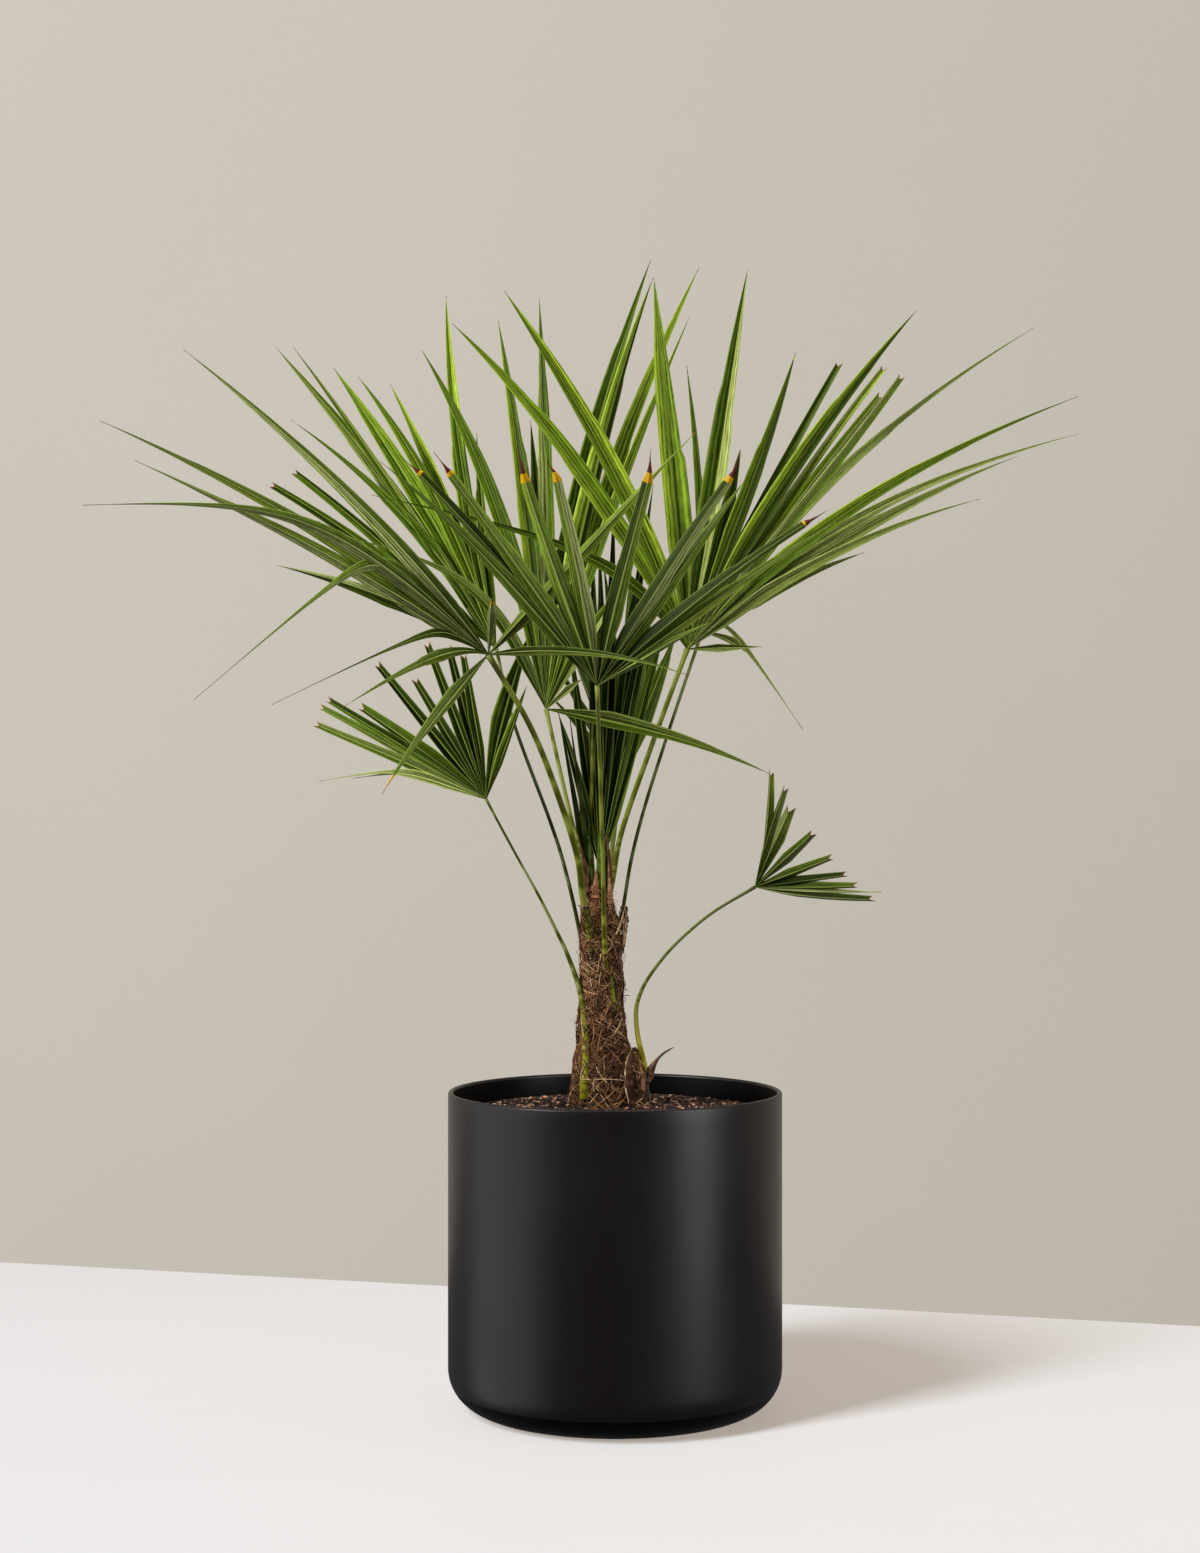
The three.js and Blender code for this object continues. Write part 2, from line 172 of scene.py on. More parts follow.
def plasterGroup():
    group, given, out = newGroup("plaster", [("Base", "Color", (1, 1, 1, 1))])
    place = addNode(group, "TexCoord").outputs["Object"]
    soft = grainAt(group, place, (2, 2, 2), 3)
    fine = grainAt(group, place, (220, 220, 220), 2)
    shade = fade(group, soft, 0.3, 0.7, 0.985, 1.0)
    group.links.new(mixColours(group, 1.0, given["Base"], shade, "MULTIPLY"), out["Color"])
    group.links.new(fade(group, fine, 0.2, 0.8, 0.7, 0.8), out["Roughness"])
    group.links.new(fine, out["Height"])
    return group


plaster = plasterGroup()


def stagePiece(name, corners, colour, oneSided):
    built = bmesh.new()
    built.faces.new([built.verts.new(corner) for corner in corners])
    mesh = meshFrom(name, built)
    material = newMaterial(name, plaster, {"Base": colour}, (0.05, 0.0005))
    if oneSided:  # seen from behind, the wall is open
        tree = material.node_tree
        through = addNode(tree, "BsdfTransparent").outputs[0]
        behind = addNode(tree, "NewGeometry").outputs["Backfacing"]
        mixed = addNode(tree, "MixShader", {}, {0: behind, 1: tree.nodes["Principled BSDF"].outputs[0], 2: through})
        tree.links.new(mixed.outputs[0], tree.nodes["Material Output"].inputs["Surface"])
    mesh.materials.append(material)
    piece = bpy.data.objects.new(name, mesh)
    piece.visible_diffuse = False  # the room throws no light back on the plant and the pot
    piece.visible_glossy = oneSided
    bpy.context.scene.collection.objects.link(piece)
    return piece


def buildStage():
    reach = room["reach"]
    floor = stagePiece("floor", [(-reach, -reach, 0), (reach, -reach, 0), (reach, reach, 0), (-reach, reach, 0)],
                       room["floor"], False)
    left, right = (Vector((*spot, 0)) for spot in room["wallLine"])
    along = (right - left).normalized() * reach
    up = Vector((0, 0, room["height"]))
    wallCorners = [left - along, right + along, right + along + up, left - along + up]
    wall = stagePiece("wall", wallCorners, room["wall"], True)
    return {"floor": floor, "wall": wall}


lamps = {  # for the plant and the pot: place, aim, width, height, watts, colour
    "keyLight": ((-2.4, -1.5, 1.9), (0, 0, 0.5), 1.1, 1.1, 102, (1.0, 0.985, 0.95)),
    "fillLight": ((2.2, -1.7, 1.0), (0, 0, 0.5), 1.4, 1.6, 25, (1.0, 0.99, 0.97)),
    "topLight": ((0.3, 0.1, 3.0), (0, 0, 0.4), 1.8, 1.8, 32, (1.0, 1.0, 0.98)),
}
lampsForOne = {  # each for one piece alone, and the piece that throws a shadow on it
    "wallLight": ((-4.6, -6.5, 2.4), (0, 0.5, 0.9), 3.0, 3.0, 672, (1.0, 0.99, 0.98), "wall", "wall"),
    "floorLight": ((3.6, 0.4, 6.0), (0, 0, 0), 3.0, 3.0, 283, (1.0, 0.885, 0.76), "floor", "floor"),
    "shadowLight": ((-5.0, -4.15, 4.9), (0, 0, 0.2), 1.6, 5.0, 640, (0.81, 0.89, 0.98), "floor", "planter"),
    "leftSheen": ((-1.8, -0.3, 0.1), (0, 0, 0.1), 1.9, 2.6, 22, (0.99, 0.99, 1.0), "planter", "planter"),
    "rightSheen": ((1.6, -1.1, 0.6), (0, 0, 0.2), 0.8, 1.8, 21, (0.99, 0.99, 1.0), "planter", "planter"),
}
worldLight = {"colour": (0.95, 0.97, 1.0, 1), "strength": 0.11}


def addLamp(name, at, aim, width, height, power, colour):
    data = bpy.data.lights.new(name, "AREA")
    data.energy = power
    data.shape = "RECTANGLE"
    data.size = width
    data.size_y = height
    data.color = colour
    lamp = bpy.data.objects.new(name, data)
    lamp.location = at
    lamp.rotation_euler = (Vector(aim) - Vector(at)).to_track_quat("-Z", "Y").to_euler()
    lamp.visible_camera = False
    bpy.context.scene.collection.objects.link(lamp)
    return lamp


def linked(name, pieces, state):  # a collection for light linking to some pieces, or away from them
    collection = bpy.data.collections.new(name)
    for piece in pieces:
        collection.objects.link(piece)
    for item in collection.collection_objects:
        item.light_linking.link_state = state
    return collection


def buildLights(planter):
    pieces = {**stage, "planter": planter}
    for name, settings in lamps.items():
        lamp = addLamp(name, *settings)
        lamp.light_linking.receiver_collection = linked(name + "Unlit", stage.values(), "EXCLUDE")
    for name, (*settings, lit, blocker) in lampsForOne.items():
        lamp = addLamp(name, *settings)
        lamp.light_linking.receiver_collection = linked(name + "Lit", [pieces[lit]], "INCLUDE")
        lamp.light_linking.blocker_collection = linked(name + "Blockers", [pieces[blocker]], "INCLUDE")
    world = bpy.data.worlds.new("studio")
    world.use_nodes = True
    world.node_tree.nodes["Background"].inputs["Color"].default_value = worldLight["colour"]
    world.node_tree.nodes["Background"].inputs["Strength"].default_value = worldLight["strength"]
    bpy.context.scene.world = world


stage = buildStage()
print("stage and camera placed")


# Pot

pot = {
    "radius": 0.150, "height": 0.284, "footRound": 0.037, "wall": 0.0045, "base": 0.007, "steps": 144,
    "colour": srgb(16, 11, 12), "spot": srgb(28, 23, 24), "gloss": 0.26,
    # painted shade: the inside and the low part of the foot's round get a near-black finish with little gloss
    "inside": srgb(5, 4, 4), "insideGloss": 0.08, "paintedShadeFrom": 0.003,
}


def potGroup():
    group, given, out = newGroup("glazeGrain", [("Base", "Color", (0, 0, 0, 1)), ("Spot", "Color", (0, 0, 0, 1))])
    place = addNode(group, "TexCoord").outputs["Object"]
    cloud = grainAt(group, place, (9, 9, 9), 4)
    grain = grainAt(group, place, (900, 900, 900), 3)
    specks = fade(group, grainAt(group, place, (420, 420, 420), 2), 0.68, 0.76)
    worn = calc(group, "ADD", calc(group, "MULTIPLY", specks, 0.25), fade(group, cloud, 0.45, 0.8, 0.0, 0.12))
    group.links.new(mixColours(group, worn, given["Base"], given["Spot"]), out["Color"])
    group.links.new(fade(group, calc(group, "ADD", cloud, grain), 0.7, 1.3, 0.34, 0.42), out["Roughness"])
    group.links.new(grain, out["Height"])
    return group


def addArc(built, lastVert, centre, radius, start, end, steps):  # a round corner or lip of a turned profile
    for i in range(1, steps + 1):
        angle = math.radians(start + (end - start) * i / steps)
        spot = (centre[0] + radius * math.cos(angle), 0, centre[1] + radius * math.sin(angle))
        vert = built.verts.new(spot)
        built.edges.new((lastVert, vert))
        lastVert = vert
    return lastVert


def addLine(built, lastVert, r, z, steps=1):
    start = lastVert.co.copy()
    for i in range(1, steps + 1):
        vert = built.verts.new(start.lerp(Vector((r, 0, z)), i / steps))
        built.edges.new((lastVert, vert))
        lastVert = vert
    return lastVert


def spun(built, steps):  # turns the profile in the XZ plane into a closed body
    profile = built.verts[:] + built.edges[:]
    bmesh.ops.spin(built, geom=profile, cent=(0, 0, 0), axis=(0, 0, 1), angle=math.tau, steps=steps, use_merge=True)
    bmesh.ops.remove_doubles(built, verts=built.verts[:], dist=1e-6)
    bmesh.ops.recalc_face_normals(built, faces=built.faces[:])


def buildPot():
    built = bmesh.new()
    radius, foot, lip = pot["radius"], pot["footRound"], pot["wall"] / 2
    inner = radius - pot["wall"]
    last = built.verts.new((0, 0, 0))
    last = addLine(built, last, radius - foot, 0, 6)
    last = addArc(built, last, (radius - foot, foot), foot, -90, 0, 14)
    last = addLine(built, last, radius, pot["height"] - lip, 20)
    last = addArc(built, last, (radius - lip, pot["height"] - lip), lip, 0, 180, 10)
    last = addLine(built, last, inner, pot["base"] + foot, 12)
    last = addArc(built, last, (inner - foot, pot["base"] + foot), foot, 0, -90, 8)
    addLine(built, last, 0, pot["base"], 4)
    spun(built, pot["steps"])
    mesh = meshFrom("planter", built)
    glaze = potGroup()
    for name, colour, gloss in (("planterGlaze", pot["colour"], pot["gloss"]),
                                ("planterPaintedShade", pot["inside"], pot["insideGloss"])):
        mesh.materials.append(newMaterial(name, glaze, {"Base": colour, "Spot": pot["spot"]}, (0.12, 0.0002), gloss))
    for face in mesh.polygons:  # painted shade: a near-black finish with little gloss on the inside and low on the foot's round
        inPaintedShade = math.hypot(*face.center.xy) < inner + 0.0005
        face.material_index = int(inPaintedShade and pot["paintedShadeFrom"] < face.center.z <= pot["height"] - lip)
    return finishPiece("planter", mesh, ["pot"])


buildLights(buildPot())
print("pot turned, lamps linked")


# Soil: a mounded bed of fine peat with bark chips strewn over it

soil = {
    "atWall": 0.262, "level": 0.271, "flatRadius": 0.052, "gap": 0.0003, "rings": 46, "steps": 150, "relief": 0.0022,
    "chips": 9400, "chipSize": (0.0010, 0.0043), "chipWidth": (0.35, 0.8), "chipDepth": (0.2, 0.55),
    "chipRagged": 0.16, "chipTilt": 0.5, "chipLift": (-0.0008, 0.0012), "seed": 11,
    "peat": srgb(20, 12, 8), "peatLight": srgb(66, 42, 29),
    "chipColours": [srgb(32, 20, 13), srgb(62, 38, 26), srgb(108, 70, 48), srgb(206, 158, 122), srgb(14, 9, 6)],
    "chipShares": [0.31, 0.21, 0.14, 0.1, 0.24],
}


def crumbGroup():
    group, given, out = newGroup("crumb", [("Base", "Color", (0, 0, 0, 1)), ("Light", "Color", (0, 0, 0, 1))])
    place = addNode(group, "TexCoord").outputs["Object"]
    coarse = grainAt(group, place, (260, 260, 260), 4, 0.65)
    fine = grainAt(group, place, (1300, 1300, 1300), 3, 0.6)
    crumbs = calc(group, "ADD", calc(group, "MULTIPLY", coarse, 0.6), calc(group, "MULTIPLY", fine, 0.4))
    group.links.new(mixColours(group, fade(group, crumbs, 0.42, 0.68), given["Base"], given["Light"]), out["Color"])
    group.links.new(fade(group, fine, 0.3, 0.7, 0.8, 0.97), out["Roughness"])
    group.links.new(crumbs, out["Height"])
    return group


crumb = crumbGroup()


def soilHeight(r):  # smooth mound between the wall and the trunk
    rim = pot["radius"] - pot["wall"]
    share = min(1.0, max(0.0, (r - soil["flatRadius"]) / (rim - soil["flatRadius"])))
    return soil["level"] + (soil["atWall"] - soil["level"]) * share ** 1.6


def buildSoil():
    built = bmesh.new()
    outer = pot["radius"] - pot["wall"] - soil["gap"]
    foot, low = pot["footRound"], pot["base"] + soil["gap"]
    last = built.verts.new((0, 0, low))
    last = addLine(built, last, outer - foot, low, 3)
    last = addArc(built, last, (outer - foot, low + foot), foot, -90, 0, 6)
    last = addLine(built, last, outer, soilHeight(outer) - 0.004, 4)
    for i in range(soil["rings"], 0, -1):
        r = outer * i / soil["rings"]
        last = addLine(built, last, r, soilHeight(r))
    addLine(built, last, 0, soil["level"])
    spun(built, soil["steps"])
    for vert in built.verts:
        r = math.hypot(vert.co.x, vert.co.y)
        if vert.co.z > soil["atWall"] - 0.003:
            lump = noise.fractal(vert.co * 60, 0.9, 2.0, 4) + 0.5 * noise.noise(vert.co * 420)
            vert.co.z += soil["relief"] * (lump - 0.5) * min(1, (outer + 0.004 - r) / 0.008)
    mesh = meshFrom("soilBed", built)
    colours = {"Base": soil["peat"], "Light": soil["peatLight"]}
    mesh.materials.append(newMaterial("peat", crumb, colours, (0.8, 0.0012)))
    return finishPiece("soilBed", mesh, ["soil"])


def buildChips():
    dice = np.random.default_rng(soil["seed"])
    count = soil["chips"]
    low, high = soil["chipSize"]
    outer = pot["radius"] - pot["wall"] - 0.003
    r = outer * np.sqrt(dice.uniform(0.02, 1.0, count))
    turn = dice.uniform(0, math.tau, count)
    longSide = low + (high - low) * dice.power(2.2, count)[::-1] * dice.uniform(0.4, 1, count)
    box = np.array([[x, y, z] for x in (-1, 1) for y in (-1, 1) for z in (-1, 1)], float) * 0.5
    sides = np.array([[0, 1, 3, 2], [4, 6, 7, 5], [0, 4, 5, 1], [2, 3, 7, 6], [0, 2, 6, 4], [1, 5, 7, 3]])
    places, faces, looks = [], [], []
    for i in range(count):
        size = longSide[i] * np.array([1, dice.uniform(*soil["chipWidth"]), dice.uniform(*soil["chipDepth"])])
        corners = (box + dice.uniform(-soil["chipRagged"], soil["chipRagged"], (8, 3))) * size
        spin = Matrix.Rotation(dice.uniform(0, math.tau), 3, "Z")
        spin = spin @ Matrix.Rotation(dice.normal(0, soil["chipTilt"]), 3, "X")
        corners = corners @ np.array(spin).T
        x, y = r[i] * math.cos(turn[i]), r[i] * math.sin(turn[i])
        z = soilHeight(r[i]) + dice.uniform(*soil["chipLift"])
        faces.append(sides + 8 * i)
        places.append(corners + (x, y, z))
        looks += [dice.choice(len(soil["chipShares"]), p=soil["chipShares"])] * 6
    colours = soil["chipColours"]
    materials = [newMaterial(f"barkChip{i}", crumb, {"Base": tone, "Light": tuple(min(1, 1.7 * c) for c in tone)},
                             (0.5, 0.0004)) for i, tone in enumerate(colours)]
    mesh = joinedMesh("barkChips", np.concatenate(places), np.concatenate(faces), materials, looks)
    return finishPiece("barkChips", mesh, [], smooth=False)


buildSoil()
buildChips()
print("soil laid")


# Trunk: relief of matted fibre, with the strands themselves laid over it

trunk = {
    "axis": -0.010, "lean": -0.0045, "foot": 0.2713, "wave": 0.06, "sides": 132, "stations": 150,
    "profile": [(0, 32), (30, 27.5), (58, 22), (85, 19.2), (112, 18), (140, 17.2), (162, 15.4), (178, 13),
                (190, 10.5), (199, 7.5), (204, 3)],  # mm: height above the soil, radius
    "relief": 0.0013, "strands": 2500, "hairs": 150, "seed": 5,
    "strandSteps": 7, "strandLeans": [38, -44, 58, -30, 74, -70, 16],
    "strandLength": (0.014, 0.046), "strandLift": (0.0002, 0.0022), "strandRadius": (0.00026, 0.0006),
    "sleeveLength": (0.01, 0.032), "sleeveLift": (0.0002, 0.0014),
    "hairLength": (0.010, 0.034), "hairLift": (0.002, 0.0075), "hairRadius": (0.00012, 0.0003),
    "fibre": srgb(26, 16, 10), "fibreLight": srgb(104, 68, 43),
    "strandColours": [srgb(94, 61, 38), srgb(130, 90, 58), srgb(172, 126, 86), srgb(222, 184, 142), srgb(42, 25, 16)],
    "strandShares": [0.27, 0.27, 0.21, 0.1, 0.15],
    "green": srgb(112, 124, 24),
}
trunkTop = trunk["profile"][-1][0] * mm


def trunkRing(height, angle):  # centre, outward direction and radius at a height above the soil
    heights, radii = zip(*trunk["profile"])
    radius = np.interp(height / mm, heights, radii) * mm
    radius = radius * (1 + trunk["wave"] * np.sin(3 * angle + height / mm / 17))
    centre = np.array([trunk["axis"] + trunk["lean"] * height / trunkTop, 0, trunk["foot"] + height])
    outward = np.array([math.cos(angle), math.sin(angle), 0])
    return centre, outward, radius


def weaveGroup():
    group, given, out = newGroup(
        "fibreWeave",
        [("Base", "Color", (0, 0, 0, 1)), ("Light", "Color", (0, 0, 0, 1)), ("Green", "Color", (0, 0, 0, 1))])
    place = addNode(group, "UVMap", {"uv_map": "bark"}).outputs[0]
    strands = []
    for lean in (35, -42):
        turned = addNode(group, "VectorRotate", {"rotation_type": "Z_AXIS"},
                         {"Vector": place, "Angle": math.radians(lean)}).outputs[0]
        strands.append(grainAt(group, turned, (900, 60, 1), 3, 0.6))
    crossed = calc(group, "MAXIMUM", *strands)
    patch = grainAt(group, place, (50, 50, 1), 3)
    tone = calc(group, "ADD", fade(group, crossed, 0.48, 0.72), fade(group, patch, 0.3, 0.7, -0.25, 0.25))
    brown = mixColours(group, tone, given["Base"], given["Light"])
    bases = calc(group, "MULTIPLY", fade(group, grainAt(group, place, (60, 16, 1), 2), 0.52, 0.6),
                 fade(group, crossed, 0.5, 0.62, 0.9, 0.1))  # old stalk bases show through between the strands
    group.links.new(mixColours(group, bases, brown, given["Green"]), out["Color"])
    group.links.new(fade(group, crossed, 0.4, 0.7, 0.95, 0.75), out["Roughness"])
    group.links.new(crossed, out["Height"])
    return group


def hairGroup():
    group, given, out = newGroup("dryGrain", [("Base", "Color", (0, 0, 0, 1))])
    place = addNode(group, "TexCoord").outputs["Object"]
    streaks = grainAt(group, place, (700, 700, 110), 3)
    shade = fade(group, streaks, 0.3, 0.7, 0.6, 1.35)
    group.links.new(mixColours(group, 1.0, given["Base"], shade, "MULTIPLY"), out["Color"])
    group.links.new(fade(group, streaks, 0.3, 0.7, 0.9, 0.7), out["Roughness"])
    group.links.new(streaks, out["Height"])
    return group


dryGrain = hairGroup()


def extrudeRings(sides, rings):  # a closed body from rings, each a function from a share of the turn to a place
    built = bmesh.new()
    corner = built.verts.layers.int.new("corner")
    bmesh.ops.create_circle(built, cap_ends=True, segments=sides, radius=1)
    built.verts.ensure_lookup_table()
    for i, vert in enumerate(built.verts):
        vert[corner] = i
        vert.co = rings[0](i / sides)
    cap = built.faces[:][0]
    for ring in rings[1:]:
        grown = bmesh.ops.extrude_face_region(built, geom=[cap])["geom"]
        cap = [part for part in grown if isinstance(part, bmesh.types.BMFace)][0]
        for vert in cap.verts:
            vert.co = ring(vert[corner] / sides)
    bmesh.ops.recalc_face_normals(built, faces=built.faces[:])
    return built


def addMap(built, label, placeOf):  # a UV map from each corner's place
    layer = built.loops.layers.uv.new(label)
    for face in built.faces:
        for loop in face.loops:
            loop[layer].uv = placeOf(loop.vert.co, face)


def trunkRelief(place):  # raised mats of fibre and the edges of old leaf bases
    mats = noise.fractal(Vector((place.x * 130, place.y * 130, place.z * 55)), 0.8, 2.1, 4)
    strand = noise.noise(Vector((place.x * 520 + place.z * 330, place.y * 520, place.z * 120)))
    bases = math.sin(place.z * 150 + 2.2 * noise.noise(place * 34)) ** 3
    return trunk["relief"] * (mats + 0.45 * strand + 0.5 * bases)


def buildTrunk():
    rings = []
    for i in range(trunk["stations"]):
        height = trunkTop * i / (trunk["stations"] - 1)

        def ring(share, height=height):
            centre, outward, radius = trunkRing(height, math.tau * share)
            spot = Vector(centre + outward * radius)
            return spot + Vector(outward) * trunkRelief(spot)

        rings.append(ring)
    built = extrudeRings(trunk["sides"], rings)

    def barkPlace(co, face):
        turn = math.atan2(co.y, co.x - trunk["axis"])
        if turn < 0 and math.atan2(face.calc_center_median().y, face.calc_center_median().x - trunk["axis"]) > 2.5:
            turn += math.tau
        return turn * 0.02, co.z

    addMap(built, "bark", barkPlace)
    mesh = meshFrom("fibreTrunk", built)
    weave = weaveGroup()
    colours = {"Base": trunk["fibre"], "Light": trunk["fibreLight"], "Green": trunk["green"]}
    mesh.materials.append(newMaterial("mattedFibre", weave, colours, (0.9, 0.0012), 0.2))
    return finishPiece("fibreTrunk", mesh, ["trunk"])


def tubesFromPaths(paths, radii, sides=3):  # paths (n, steps, 3) and radii (n, steps) to places and faces
    count, steps, _ = paths.shape
    forward = np.gradient(paths, axis=1)
    forward /= np.linalg.norm(forward, axis=2, keepdims=True) + 1e-12
    helper = np.where(np.abs(forward[..., 2:3]) > 0.9, [[[1.0, 0, 0]]], [[[0, 0, 1.0]]])
    first = np.cross(forward, helper)
    first /= np.linalg.norm(first, axis=2, keepdims=True) + 1e-12
    second = np.cross(forward, first)
    angles = np.arange(sides) * math.tau / sides
    cosines, sines = np.cos(angles)[:, None], np.sin(angles)[:, None]
    rings = paths[:, :, None] + radii[:, :, None, None] * (cosines * first[:, :, None] + sines * second[:, :, None])
    places = rings.reshape(-1, 3)
    here = np.arange(sides)
    after = (here + 1) % sides
    strip = []
    for i in range(steps - 1):
        low, high = i * sides, (i + 1) * sides
        strip += [[low + a, low + b, high + b, high + a] for a, b in zip(here, after)]
    one = np.array(strip)
    ends = np.array([here[::-1], (steps - 1) * sides + here])
    faces = (one[None] + (np.arange(count) * steps * sides)[:, None, None]).reshape(-1, 4)
    caps = (ends[None] + (np.arange(count) * steps * sides)[:, None, None]).reshape(-1, sides)
    return places, faces, caps


def triangles(faces, caps):  # all faces as triangles, caps too
    return np.concatenate([faces[:, [0, 1, 2]], faces[:, [0, 2, 3]], caps])


def strandPaths(dice, count, lengths, lift, heightRange, ringAt, top):  # low arcs over a surface
    steps = trunk["strandSteps"]
    heights = dice.uniform(*heightRange, count) * top
    turns = dice.uniform(0, math.tau, count)
    lengthsMade = dice.uniform(*lengths, count)
    lean = np.radians(dice.choice(trunk["strandLeans"], count) + dice.normal(0, 13, count))
    curl = dice.normal(0, 0.5, count)
    paths = np.zeros((count, steps, 3))
    for i in range(count):
        raised = lift[0] + (lift[1] - lift[0]) * dice.uniform() ** 2
        height, turn = heights[i], turns[i]
        for j in range(steps):
            share = j / (steps - 1)
            centre, outward, radius = ringAt(min(max(height, 0), top * 0.985), turn)
            rest = centre + outward * radius
            bump = trunkRelief(Vector(rest))
            paths[i, j] = rest + outward * (bump + raised * math.sin(math.pi * min(1, share * 1.1)) + 0.0001)
            step = lengthsMade[i] / (steps - 1)
            here = lean[i] + curl[i] * share
            height += step * math.cos(here)
            turn += step * math.sin(here) / max(radius, 0.008)
    return paths


buildTrunk()
print("trunk grown")


# The crown, set out as seen from the front: millimetres in the upright plane through the pot's
# axis, and depths to the back. A leaflet is (lean at the hub, lean of the tip, reach, width,
# 1 where its end was cut, drift of its tip to the back, share of the reach at its knee, sharpness
# of the knee).

eye = np.array([-13.5, -2247.0, 539.0])

